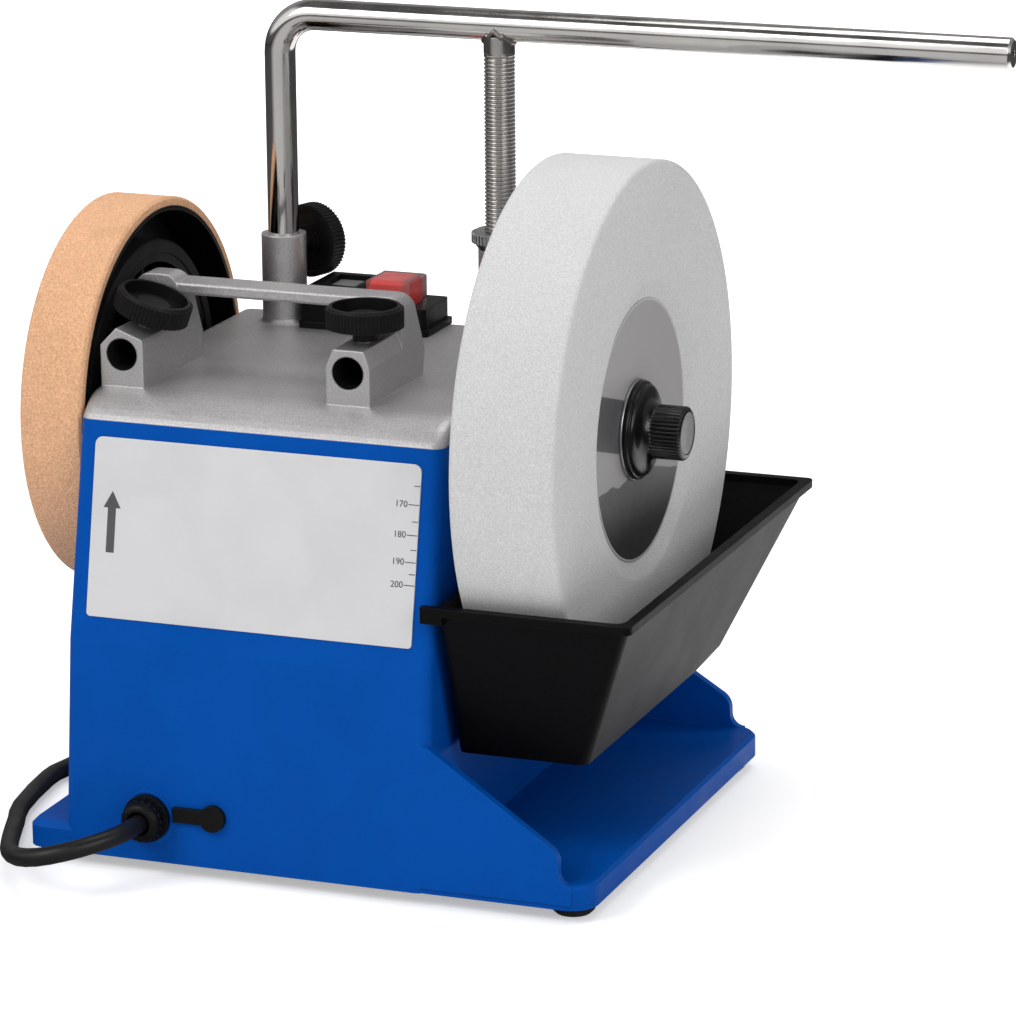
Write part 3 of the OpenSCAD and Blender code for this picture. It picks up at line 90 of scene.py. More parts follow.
class Tree:
    """Adds and links shader nodes in one node tree."""

    def __init__(self, tree: NodeTree) -> None:
        """Keeps the node tree of a material, a world or a group."""
        self.tree = tree

    @classmethod
    def of(cls, owner: bpy.types.ID) -> "Tree":
        """Starts the nodes of a material or world.

        Args:
            owner: the material or world.

        Returns:
            Its tree, emptied.
        """
        owner.use_nodes = True
        owner.node_tree.nodes.clear()
        return cls(owner.node_tree)

    def add(self, kind: str, inputs: dict | None = None, **settings: object) -> Node:
        """Adds a node.

        Args:
            kind: the node's type name, without its ShaderNode.
            inputs: values or sockets for its inputs, by name or number.
            settings: properties to set on it.

        Returns:
            The new node.
        """
        node = self.tree.nodes.new(f"ShaderNode{kind}")
        for key, value in settings.items():
            setattr(node, key, value)
        for key, value in (inputs or {}).items():
            self.feed(node.inputs[key], value)
        return node

    def feed(self, socket: Socket, value: object) -> None:
        """Feeds one input.

        Args:
            socket: the input.
            value: an output to link to it, or the value that it keeps.
        """
        if isinstance(value, Socket):
            self.tree.links.new(value, socket)
        elif isinstance(value, tuple) and len(value) == 3 and socket.type == "RGBA":
            socket.default_value = (*value, 1.0)
        else:
            socket.default_value = value

    def surface(self, shader: Node, output: str = "OutputMaterial") -> None:
        """Links a shader to an output node of the type named."""
        self.add(output, {"Surface": shader.outputs[0]})

    def math(self, operation: str, *values: object) -> Socket:
        """Returns the result of one Math node."""
        return self.add("Math", dict(enumerate(values)), operation=operation).outputs[0]

    def vector(self, operation: str, *values: object, result: str = "Vector") -> Socket:
        """Returns the vector, or the value, that one Vector Math node gives."""
        return self.add("VectorMath", dict(enumerate(values)), operation=operation).outputs[result]

    def length(self, a: Socket, b: Socket) -> Socket:
        """Returns how long the flat vector (a, b) is."""
        squares = [self.math("MULTIPLY", side, side) for side in (a, b)]
        return self.math("SQRT", self.math("ADD", *squares))

    def mix(self, factor: object, a: object, b: object) -> Socket:
        """Returns the colour between a and b at factor."""
        return self.add("Mix", {0: factor, 6: a, 7: b}, data_type="RGBA").outputs[2]

    def span(self, value: object, low: float, high: float, to_low: float, to_high: float) -> Socket:
        """Returns value moved from one range to another, clamped and smooth."""
        inputs = dict(enumerate((value, low, high, to_low, to_high)))
        return self.add("MapRange", inputs, interpolation_type="SMOOTHSTEP").outputs[0]

    def coords(self, kind: str = "Object") -> Socket:
        """Returns the point's coordinates of the kind named."""
        return self.add("TexCoord").outputs[kind]

    def split(self, vector: Socket) -> tuple[Socket, ...]:
        """Returns a vector's X, Y and Z."""
        return tuple(self.add("SeparateXYZ", {0: vector}).outputs)

    def noise(self, scale: object, detail: float, roughness: float = 0.5, distortion: float = 0.0,
              vector: Socket | None = None) -> Socket:
        """Adds a noise texture.

        Args:
            scale: its features per metre.
            detail: how many finer layers it has.
            roughness: how strong the finer layers are.
            distortion: how far it is warped.
            vector: its coordinates, where they aren't the object's own.

        Returns:
            Its value.
        """
        return self.add("TexNoise", {
            "Vector": self.coords() if vector is None else vector, "Scale": scale, "Detail": detail,
            "Roughness": roughness, "Distortion": distortion}).outputs["Fac"]

    def effect(self, effect: "Effect", **inputs: object) -> Node:
        """Adds a shared effect with values for its inputs, and returns its group node."""
        return self.add("Group", inputs, node_tree=Effects.get(effect))


class Effect(Enum):
    """The shared shader effects, by the name of their node group."""

    EDGES = "Soft edges"
    GRAIN = "Surface grain"
    MOTTLE = "Broad mottle"
    STROKES = "Tool strokes"


class Effects:
    """Builds each shared node group once and hands it out."""

    WORN_EDGE: ClassVar[Fade] = (0.985, 0.80, 0.0, 1.0)
    GRAIN: ClassVar[Fade] = (0.3, 0.7, 0.0, 1.0)
    PATCHES: ClassVar[Fade] = (0.32, 0.68, 0.0, 1.0)
    _built: ClassVar[dict[Effect, NodeTree]] = {}

    @classmethod
    def get(cls, effect: Effect) -> NodeTree:
        """Looks up an effect.

        Args:
            effect: the effect.

        Returns:
            Its node group, built at its first use.
        """
        if effect not in cls._built:
            dict(zip(Effect, (cls._edges, cls._grain, cls._mottle, cls._strokes)))[effect]()
        return cls._built[effect]

    @classmethod
    def _start(cls, effect: Effect, inputs: dict[str, float], *outputs: str) -> tuple[Tree, Node, Node]:
        """Makes an empty group.

        Args:
            effect: the effect that it is for.
            inputs: its number inputs with their defaults.
            outputs: its outputs. Normal is a vector, any other a number.

        Returns:
            The tree's builder, its input node and its output node.
        """
        group = bpy.data.node_groups.new(effect.value, "ShaderNodeTree")
        for key, value in inputs.items():
            socket = group.interface.new_socket(key, in_out="INPUT", socket_type="NodeSocketFloat")
            socket.default_value = value
        for key in outputs:
            kind = "NodeSocketVector" if key == "Normal" else "NodeSocketFloat"
            group.interface.new_socket(key, in_out="OUTPUT", socket_type=kind)
        cls._built[effect] = group
        return Tree(group), group.nodes.new("NodeGroupInput"), group.nodes.new("NodeGroupOutput")

    @classmethod
    def _edges(cls) -> None:
        """Rounds the light on sharp edges and masks where they wear."""
        tree, given, out = cls._start(Effect.EDGES, {"Radius": 0.0004}, "Normal", "Mask")
        bevel = tree.add("Bevel", {"Radius": given.outputs["Radius"]}, samples=6)
        plain = tree.add("NewGeometry").outputs["Normal"]
        agreement = tree.vector("DOT_PRODUCT", bevel.outputs[0], plain, result="Value")
        tree.feed(out.inputs["Normal"], bevel.outputs[0])
        tree.feed(out.inputs["Mask"], tree.span(agreement, *cls.WORN_EDGE))

    @classmethod
    def _grain(cls) -> None:
        """Fine bumps of the size given, as on a moulding or a casting."""
        tree, given, out = cls._start(Effect.GRAIN, {"Size": 0.0006, "Sharpness": 0.5}, "Height")
        scale = tree.math("DIVIDE", 1.0, given.outputs["Size"])
        noise = tree.noise(scale, 3.0, given.outputs["Sharpness"])
        tree.feed(out.inputs["Height"], tree.span(noise, *cls.GRAIN))

    @classmethod
    def _mottle(cls) -> None:
        """Broad soft patches, for uneven gloss, handling marks and tone."""
        tree, given, out = cls._start(Effect.MOTTLE, {"Size": 0.03}, "Value")
        scale = tree.math("DIVIDE", 1.0, given.outputs["Size"])
        noise = tree.noise(scale, 4.0, 0.6, 0.4)
        tree.feed(out.inputs["Value"], tree.span(noise, *cls.PATCHES))

    @classmethod
    def _strokes(cls) -> None:
        """Long fine lines, as turning, drawing or grinding leaves them."""
        tree, given, out = cls._start(Effect.STROKES, {f"Along {axis}": 1.0 for axis in "XYZ"}, "Height")
        scale = tree.add("CombineXYZ", {i: given.outputs[i] for i in range(3)})
        stretched = tree.vector("MULTIPLY", tree.coords(), scale.outputs[0])
        tree.feed(out.inputs["Height"], tree.noise(1.0, 2.0, vector=stretched))


# ---- finishes

@dataclass(frozen=True)
class Finish:
    """A finish with grain, uneven gloss and worn edges. Lengths are in metres."""

    name: str
    colour: Colour
    roughness: float = 0.5
    metallic: float = 0.0
    grain_size: float = 0.0006
    grain_depth: float = 20e-6
    gloss_spread: float = 0.12
    tone_spread: float = 0.06
    patch_size: float = 0.03
    edge_radius: float = 0.0004
    worn_colour: Colour = (0.5, 0.5, 0.5)
    wear: float = 0.15
    shine: float = 0.5
    speckle: float = 0.0
    dots: ClassVar[Fade] = (0.38, 0.62, 0.0, 1.0)
    dot_share: ClassVar[float] = 0.6
    glossiest: ClassVar[float] = 0.03

    def build(self) -> bpy.types.Material:
        """Makes the finish's material once.

        Returns:
            The material.
        """
        name = f"finish_{self.name}"
        found = bpy.data.materials.get(name)
        if found:
            return found
        material = bpy.data.materials.new(name)
        tree = Tree.of(material)
        shader = tree.add("BsdfPrincipled")
        tree.surface(shader)
        self.dress(tree, shader)
        return material

    def dress(self, tree: Tree, shader: Node) -> None:
        """Feeds the shader.

        Args:
            tree: the material's tree.
            shader: its Principled node.
        """
        edges = tree.effect(Effect.EDGES, Radius=self.edge_radius)
        patches = tree.effect(Effect.MOTTLE, Size=self.patch_size).outputs["Value"]
        worn = tree.math("MULTIPLY", edges.outputs["Mask"], self.wear)
        base = self.tone(tree, patches)
        tree.feed(shader.inputs["Base Color"], tree.mix(worn, base, self.worn_colour))
        spread = self.gloss_spread / 2
        tree.feed(shader.inputs["Roughness"], tree.span(
            patches, 0.0, 1.0, max(self.roughness - spread, self.glossiest), self.roughness + spread))
        shader.inputs["Metallic"].default_value = self.metallic
        shader.inputs["Specular IOR Level"].default_value = self.shine
        bump = tree.add("Bump", {
            "Strength": 1.0, "Distance": self.grain_depth,
            "Height": self.relief(tree), "Normal": edges.outputs["Normal"]})
        tree.feed(shader.inputs["Normal"], bump.outputs[0])

    def shade(self, share: float) -> Colour:
        """Returns the colour made lighter by a share, or darker where it is negative."""
        return tuple(min(c * (1 + share), 1.0) for c in self.colour)

    def tone(self, tree: Tree, patches: Socket) -> Socket:
        """Mixes the base colour.

        Args:
            tree: the material's tree.
            patches: the broad mottle.

        Returns:
            The colour, with a slight drift and, where the finish has it, a speckle.
        """
        base = tree.mix(patches, self.shade(-self.tone_spread), self.shade(self.tone_spread))
        if not self.speckle:
            return base
        dots = tree.span(tree.noise(1.0 / self.grain_size, 2.0, 0.8), *self.dots)
        dotted = tree.mix(dots, self.shade(-self.speckle), self.shade(self.speckle))
        return tree.mix(self.dot_share, base, dotted)

    def relief(self, tree: Tree) -> Socket:
        """Returns the height that the bump shows."""
        return tree.effect(Effect.GRAIN, Size=self.grain_size, Sharpness=0.55).outputs["Height"]


@dataclass(frozen=True)
class StrokedMetal(Finish):
    """Bright metal with fine strokes; spacing is the lines' frequency along X, Y and Z per metre."""

    spacing: Triple = (40.0, 4000.0, 4000.0)
    metallic: float = 1.0

    def relief(self, tree: Tree) -> Socket:
        """Returns the strokes' height."""
        along = {f"Along {axis}": value for axis, value in zip("XYZ", self.spacing)}
        return tree.effect(Effect.STROKES, **along).outputs["Height"]


@dataclass(frozen=True)
class Spots:
    """A layer of spots: how many to a metre, the detail and roughness of their noise, and its fade."""

    per_metre: float
    detail: float
    roughness: float
    fade: Fade


@dataclass(frozen=True)
class Spotted(Finish):
    """A finish with layers of darker spots, such as a stone's pores or the nap and rubs of leather."""

    spot_colour: Colour = (0.44, 0.44, 0.45)
    layers: tuple[Spots, ...] = ()

    def tone(self, tree: Tree, patches: Socket) -> Socket:
        """Mixes the base colour with the spots.

        Args:
            tree: the material's tree.
            patches: the broad mottle.

        Returns:
            The colour.
        """
        base = Finish.tone(self, tree, patches)
        for layer in self.layers:
            noise = tree.noise(layer.per_metre, layer.detail, layer.roughness)
            base = tree.mix(tree.span(noise, *layer.fade), base, self.spot_colour)
        return base


@dataclass(frozen=True)
class DiscPrint(Finish):
    """The disc on the stone: printed pale above and dark below, with the nut's shadow painted as a dark band
    beside it.
    """

    centre_z: float = 0.1582
    dark: Colour = (0.085, 0.085, 0.088)
    deep: Colour = (0.040, 0.040, 0.042)
    rim_colour: Colour = (0.46, 0.46, 0.47)
    low_slope: float = 0.11
    low_edge: Fade = (-0.0124, -0.0116, 1.0, 0.0)
    waves_per_metre: float = 45.0
    wave_height: float = 0.012
    deep_edge: Fade = (-0.040, -0.016, 1.0, 0.0)
    # The nut's painted shadow: a dark tilted band as wide as the nut's barrel, running back from it.
    band_slope: float = 0.29
    band_edge: Fade = (0.0100, 0.0106, 1.0, 0.0)
    band_end: Fade = (-0.0130, -0.0125, 1.0, 0.0)
    rim_edge: Fade = (0.049 - 0.0011, 0.049 - 0.0007, 0.0, 1.0)

    def tone(self, tree: Tree, patches: Socket) -> Socket:
        """Mixes the print's tones and the nut's painted shadow, with soft fades and a thin rim line.

        Args:
            tree: the material's tree.
            patches: the broad mottle.

        Returns:
            The colour.
        """
        coords = tree.coords()
        _, y, z = tree.split(coords)
        across = tree.math("ADD", y, ORIGIN_Y * MM)
        up = tree.math("SUBTRACT", z, self.centre_z)
        wave = tree.noise(self.waves_per_metre, 1.0, vector=coords)
        slope = tree.math("ADD", up, tree.math("MULTIPLY", across, self.low_slope))
        edge = tree.math("ADD", slope, tree.math("MULTIPLY", wave, self.wave_height))
        low = tree.span(edge, *self.low_edge)
        deep = tree.span(slope, *self.deep_edge)
        # Paints the nut's shadow as a band across the disc.
        tilted = tree.math("ADD", up, tree.math("MULTIPLY", across, self.band_slope))
        nut_shadow = tree.math("MULTIPLY", tree.span(tree.math("ABSOLUTE", tilted), *self.band_edge),
                         tree.span(across, *self.band_end))
        # The print's dark tone also paints the nut's shadow.
        base = tree.mix(tree.math("MAXIMUM", low, nut_shadow), Finish.tone(self, tree, patches),
                        tree.mix(deep, self.dark, self.deep))
        rim = tree.span(tree.length(across, up), *self.rim_edge)
        return tree.mix(rim, base, self.rim_colour)


@dataclass(frozen=True)
class CastMetal(Finish):
    """Cast and blasted metal, with painted shade inside its two front bores."""

    bores: tuple[float, float] = (-0.0611, 0.0291)
    bore_height: float = 0.1868
    bore_reach: float = 0.0062
    bore_end: float = -0.0173
    fade: float = 0.0002
    # The colour of the painted shade inside the bores.
    dark: Colour = (0.045, 0.045, 0.046)

    def tone(self, tree: Tree, patches: Socket) -> Socket:
        """Mixes the metal's tone, with painted shade inside the bores.

        Args:
            tree: the material's tree.
            patches: the broad mottle.

        Returns:
            The colour.
        """
        base = Finish.tone(self, tree, patches)
        x, y, z = tree.split(tree.coords())
        up = tree.math("SUBTRACT", z, self.bore_height)
        along = tree.math("ADD", y, ORIGIN_Y * MM)
        shaded_reach = tree.span(along, self.bore_end, self.bore_end + self.fade, 1.0, 0.0)
        # Paints shade inside each front bore.
        for middle in self.bores:
            distance = tree.length(tree.math("SUBTRACT", x, middle - ORIGIN_X * MM), up)
            inside = tree.span(distance, self.bore_reach, self.bore_reach + self.fade, 1.0, 0.0)
            base = tree.mix(tree.math("MULTIPLY", inside, shaded_reach), base, self.dark)
        return base


@dataclass(frozen=True)
class ClearPlastic(Finish):
    """Plastic that lets some of the light, or most of it, through."""

    passing: float = 0.94
    ior: float = 1.3
    coat: float = 0.0

    def dress(self, tree: Tree, shader: Node) -> None:
        """Feeds the shader and lets light through.

        Args:
            tree: the material's tree.
            shader: its Principled node.
        """
        Finish.dress(self, tree, shader)
        shader.inputs["Transmission Weight"].default_value = self.passing
        shader.inputs["IOR"].default_value = self.ior
        shader.inputs["Coat Weight"].default_value = self.coat


class Palette(Enum):
    """Every finish of the machine."""

    BLUE = Finish(
        "blue_casing", (0.0001, 0.074, 0.385), 0.42, grain_size=0.0007, grain_depth=18e-6,
        worn_colour=(0.02, 0.22, 0.66), wear=0.5, tone_spread=0.04, shine=0.05)
    BLACK = Finish(
        "black_moulding", (0.003, 0.003, 0.0032), 0.42, grain_depth=30e-6, worn_colour=(0.03, 0.03, 0.03),
        wear=0.4, shine=0.15)
    TROUGH = Finish(
        "trough_moulding", (0.0015, 0.0015, 0.0017), 0.5, grain_size=0.0009, grain_depth=30e-6,
        worn_colour=(0.02, 0.02, 0.02), wear=0.6, shine=0.10, gloss_spread=0.03)
    KNOB = Finish(
        "knob_moulding", (0.0045, 0.0045, 0.005), 0.45, worn_colour=(0.03, 0.03, 0.03), wear=0.5,
        edge_radius=0.0003, shine=0.18)
    GREY = Finish("grey_moulding", (0.16, 0.16, 0.165), 0.45, worn_colour=(0.35, 0.35, 0.35))
    RED = ClearPlastic(
        "clear_red", (0.72, 0.006, 0.004), 0.3, grain_depth=5e-6, worn_colour=(0.85, 0.20, 0.16), wear=0.4,
        edge_radius=0.0006, shine=0.2, passing=0.1, ior=1.49, coat=0.1)
    CLEAR = ClearPlastic(
        "clear_cover", (1.0, 0.93, 0.92), 0.06, grain_depth=2e-6, worn_colour=(1.0, 0.9, 0.88), wear=0.4,
        shine=0.25)
    FILM = Finish(
        "label_film", (0.66, 0.66, 0.67), 0.38, metallic=0.15, grain_size=0.0004, grain_depth=6e-6,
        tone_spread=0.02, wear=0.0)
    PRINT = Finish("dark_print", (0.07, 0.07, 0.075), 0.4, grain_depth=4e-6, wear=0.0)
    DISC = DiscPrint("disc_print_with_nut_shadow", (0.31, 0.30, 0.305), 0.45, grain_depth=6e-6, wear=0.0, shine=0.25)
    NUT = Finish(
        "glossy_moulding", (0.003, 0.003, 0.0033), 0.24, grain_depth=6e-6, worn_colour=(0.05, 0.05, 0.05),
        wear=0.5, edge_radius=0.0003, shine=0.45)
    CASTING = CastMetal(
        "cast_top", (0.50, 0.487, 0.49), 0.44, metallic=0.8, grain_depth=40e-6,
        worn_colour=(0.72, 0.72, 0.72), wear=0.4, tone_spread=0.03, gloss_spread=0.06, edge_radius=0.0008,
        speckle=0.22)
    STEEL = StrokedMetal(
        "drawn_steel", (0.62, 0.60, 0.58), 0.13, grain_depth=4e-6, gloss_spread=0.06, wear=0.0,
        spacing=(30.0, 3000.0, 3000.0))
    LEG_STEEL = StrokedMetal(
        "upright_steel", (0.43, 0.415, 0.40), 0.2, grain_depth=4e-6, gloss_spread=0.06, wear=0.0,
        spacing=(3000.0, 3000.0, 30.0))
    WELD = Finish("weld_steel", (0.24, 0.22, 0.21), 0.4, metallic=1.0, grain_size=0.0005, wear=0.0)
    ZINC = StrokedMetal(
        "turned_zinc", (0.45, 0.45, 0.46), 0.32, grain_depth=12e-6, gloss_spread=0.1, wear=0.0,
        spacing=(400.0, 400.0, 4000.0))
    IRON = StrokedMetal(
        "motor_iron", (0.12, 0.12, 0.125), grain_depth=40e-6, wear=0.0, spacing=(2500.0, 60.0, 60.0))
    BRONZE = Finish("sintered_bronze", (0.55, 0.32, 0.12), 0.4, metallic=1.0, grain_size=0.0004)
    RUBBER = Finish(
        "black_rubber", (0.01, 0.01, 0.01), 0.7, grain_size=0.0005, grain_depth=40e-6,
        worn_colour=(0.05, 0.05, 0.05), wear=0.3, shine=0.25)
    JACKET = Finish(
        "cord_jacket", (0.006, 0.006, 0.0065), 0.38, grain_size=0.0012, wear=0.0, edge_radius=0.0002,
        shine=0.3)
    STONE = Spotted(
        "bonded_grit", (0.635, 0.635, 0.635), 0.92, grain_depth=100e-6, gloss_spread=0.05,
        tone_spread=0.03, patch_size=0.025, worn_colour=(0.70, 0.70, 0.69), wear=0.1, edge_radius=0.0022,
        speckle=0.17, layers=(Spots(1.4 / 0.0006, 3.0, 0.7, (0.55, 0.75, 0.0, 0.6)),))
    LEATHER = Spotted(
        "napped_leather", (0.86, 0.49, 0.28), 0.9, grain_size=0.0009, grain_depth=300e-6,
        gloss_spread=0.06, tone_spread=0.05, patch_size=0.02, worn_colour=(0.80, 0.44, 0.24), wear=0.3,
        edge_radius=0.0008, speckle=0.16, spot_colour=(0.55, 0.27, 0.14),
        layers=(
            Spots(1100.0, 4.0, 0.75, (0.46, 0.64, 0.0, 0.5)),
            Spots(70.0, 3.0, 0.6, (0.5, 0.75, 0.0, 0.25))))

    def material(self) -> bpy.types.Material:
        """Returns the finish's material."""
        return self.value.build()


Finishes = dict[Palette, tuple[str, ...]]


# ---- mesh helpers

def angles(steps: int) -> list[float]:
    """Returns the angles of so many equal steps round."""
    return [2 * math.pi * i / steps for i in range(steps)]


def rod_faces(rows: int, steps: int) -> list[tuple[int, ...]]:
    """Closes rows of points to a rod or a plate.

    Args:
        rows: the number of rows from end to end.
        steps: the points in each row.

    Returns:
        The faces: both ends, then the sides row by row.
    """
    last = (rows - 1) * steps
    faces = [tuple(reversed(range(steps))), tuple(range(last, last + steps))]
    for row in range(0, last, steps):
        for i in range(steps):
            a, b = row + i, row + (i + 1) % steps
            faces.append((a, b, b + steps, a + steps))
    return faces


def ring_faces(steps: int, count: int) -> list[tuple[int, ...]]:
    """Closes an outline that is carried round to a ring.

    Args:
        steps: the number of steps round.
        count: the outline's points.

    Returns:
        The faces.
    """
    faces = []
    for here in range(0, steps * count, count):
        after = (here + count) % (steps * count)
        for k in range(count):
            beside = (k + 1) % count
            faces.append((here + k, after + k, after + beside, here + beside))
    return faces


def mesh_piece(name: str, points: list, faces: list, body: str, finish: Palette,
               sharp: float = 32.0) -> Piece:
    """Makes a piece from points and faces, and lets it ride on a body.

    Args:
        name: the piece's name.
        points: its corners in the frame's metres.
        faces: corner numbers of each face.
        body: the body it moves with.
        finish: its finish.
        sharp: edges over this angle in degrees stay sharp.

    Returns:
        The new object.
    """
    mesh = bpy.data.meshes.new(name)
    mesh.from_pydata([tuple(p) for p in points], [], faces)
    mesh.validate()
    mesh.polygons.foreach_set("use_smooth", [True] * len(mesh.polygons))
    mesh.set_sharp_from_angle(angle=math.radians(sharp))
    mesh.materials.append(finish.material())
    piece = add_object(name, mesh)
    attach(piece, body)
    LOG.info("piece %s: %d points", name, len(points))
    return piece


# ---- studio

@dataclass(frozen=True)
class Lamp:
    """A square soft box that points at the machine. Lengths are in metres."""

    name: str
    spot: Triple
    size: float
    power: float
    aim: Triple = (0.0, 0.0, 0.12)

    def build(self) -> None:
        """Hangs the lamp."""
        data = bpy.data.lights.new(self.name, "AREA")
        data.shape = "SQUARE"
        data.size = self.size
        data.energy = self.power
        lamp = add_object(self.name, data)
        lamp.location = self.spot
        way = Vector(self.aim) - Vector(self.spot)
        lamp.rotation_euler = way.to_track_quat("-Z", "Y").to_euler()


@dataclass
class Studio:
    """Camera, lamps, floor and background."""

    yaw: float = math.radians(20.947)
    pitch: float = math.radians(15.367)
    roll: float = -0.0083
    distance: float = 1840.85
    target: Triple = (67.0, 0.0, 122.0)
    focal_px: float = 4913.5
    frame_px: float = 1024.0
    sensor: float = 36.0
    far_clip: float = 20.0
    upward: Fade = (-0.15, 0.9, 0.30, 0.62)
    skirting: Fade = (0.06, 0.16, 0.0, 1.0)
    ceiling: Fade = (0.62, 0.80, 1.0, 0.0)
    backward: Fade = (-0.30, 0.25, 1.0, 0.22)
    dimmest: float = 0.10
    floor_half: float = 6.0
    floor_drop: float = 0.0002
    floor_tone: Colour = (0.86, 0.86, 0.86)
    floor_ahead: Fade = (-0.95, -0.55, 0.60, 0.09)
    floor_glow: Fade = (0.5, 2.0, 0.42, 1.0)
    patch_middle: Triple = (0.22, 0.32, 0.0)
    patch_edge: Fade = (0.24, 0.55, 1.0, 0.0)
    patch_glow: float = 0.5
    lamps: tuple[Lamp, ...] = (Lamp("key", (-1.3, -1.7, 1.9), 1.3, 26.0),
                               Lamp("fill", (1.9, -1.4, 1.2), 1.2, 13.0),
                               Lamp("top", (0.1, 0.5, 2.2), 1.4, 17.0))

    def build(self) -> None:
        """Sets up the studio, with the key lamp at the left, the fill at the right and one above."""
        self._camera()
        self._world()
        self._floor()
        for lamp in self.lamps:
            lamp.build()

    def _camera(self) -> None:
        """Puts the camera at the angle from which the machine is shown."""
        back = Vector((math.sin(self.yaw) * math.cos(self.pitch),
                       -math.cos(self.yaw) * math.cos(self.pitch), math.sin(self.pitch)))
        right = (-back).cross(Vector((0, 0, 1))).normalized()
        up = right.cross(-back)
        turned_right = math.cos(self.roll) * right + math.sin(self.roll) * up
        turned_up = math.cos(self.roll) * up - math.sin(self.roll) * right
        data = bpy.data.cameras.new("camera")
        data.sensor_fit = "VERTICAL"
        data.sensor_height = self.sensor
        data.lens = self.focal_px * self.sensor / self.frame_px
        data.clip_end = self.far_clip
        camera = add_object("camera", data)
        spot = place(*self.target) + back * self.distance * MM
        axes = Matrix((turned_right, turned_up, back)).transposed().to_4x4()
        camera.matrix_world = Matrix.Translation(spot) @ axes
        bpy.context.scene.camera = camera

    def _world(self) -> None:
        """White behind the machine, softer light on it."""
        world = bpy.data.worlds.new("studio")
        bpy.context.scene.world = world
        tree = Tree.of(world)
        path = tree.add("LightPath").outputs
        seen = tree.math("MAXIMUM", path["Is Camera Ray"], path["Is Transmission Ray"])
        _, y, z = tree.split(tree.coords("Generated"))
        height = tree.span(z, *self.upward)
        # Reflections see a bright front wall between a dark skirting and a dark ceiling.
        wall = tree.math("MULTIPLY", tree.span(z, *self.skirting), tree.span(z, *self.ceiling))
        front = tree.span(y, *self.backward)
        mirrored = tree.math("ADD", tree.math("MULTIPLY", wall, front), self.dimmest)
        lit = tree.add("Mix", {0: path["Is Glossy Ray"], 2: height, 3: mirrored}, data_type="FLOAT")
        strength = tree.math("MAXIMUM", seen, lit.outputs[0])
        light = tree.add("Background", {"Color": WHITE, "Strength": strength})
        tree.surface(light, "OutputWorld")

    def _floor(self) -> None:
        """A pale floor that keeps the machine's shadow."""
        half = self.floor_half
        mesh = bpy.data.meshes.new("floor")
        corners = [(-half, -half, 0), (half, -half, 0), (half, half, 0), (-half, half, 0)]
        mesh.from_pydata(corners, [], [(0, 1, 2, 3)])
        floor = add_object("floor", mesh)
        floor.location.z = -self.floor_drop
        material = bpy.data.materials.new("floor")
        tree = Tree.of(material)
        path = tree.add("LightPath").outputs
        coords = tree.coords()
        _, y, _ = tree.split(tree.vector("NORMALIZE", coords))
        # Reflections see it pale in front of the machine and behind the trough, and dark elsewhere.
        ahead = tree.span(y, *self.floor_ahead)
        reach = tree.vector("DISTANCE", coords, self.patch_middle, result="Value")
        patch = tree.span(reach, *self.patch_edge)
        dim = tree.math("MAXIMUM", ahead, patch)
        mirrored = tree.add("CombineColor", {0: dim, 1: dim, 2: dim}).outputs[0]
        matt = tree.add("BsdfDiffuse", {"Color": tree.mix(path["Is Glossy Ray"], self.floor_tone, mirrored)})
        # The camera sees it white far away, and with the machine's shadow close by.
        shown = tree.span(tree.vector("LENGTH", coords, result="Value"), *self.floor_glow)
        glow = tree.math("MULTIPLY", patch, self.patch_glow)
        lift = tree.add("Emission", {"Color": WHITE, "Strength": tree.math(
            "ADD", tree.math("MULTIPLY", path["Is Camera Ray"], shown),
            tree.math("MULTIPLY", path["Is Glossy Ray"], glow))})
        tree.surface(tree.add("AddShader", {0: matt.outputs[0], 1: lift.outputs[0]}))
        mesh.materials.append(material)


# ---- cord

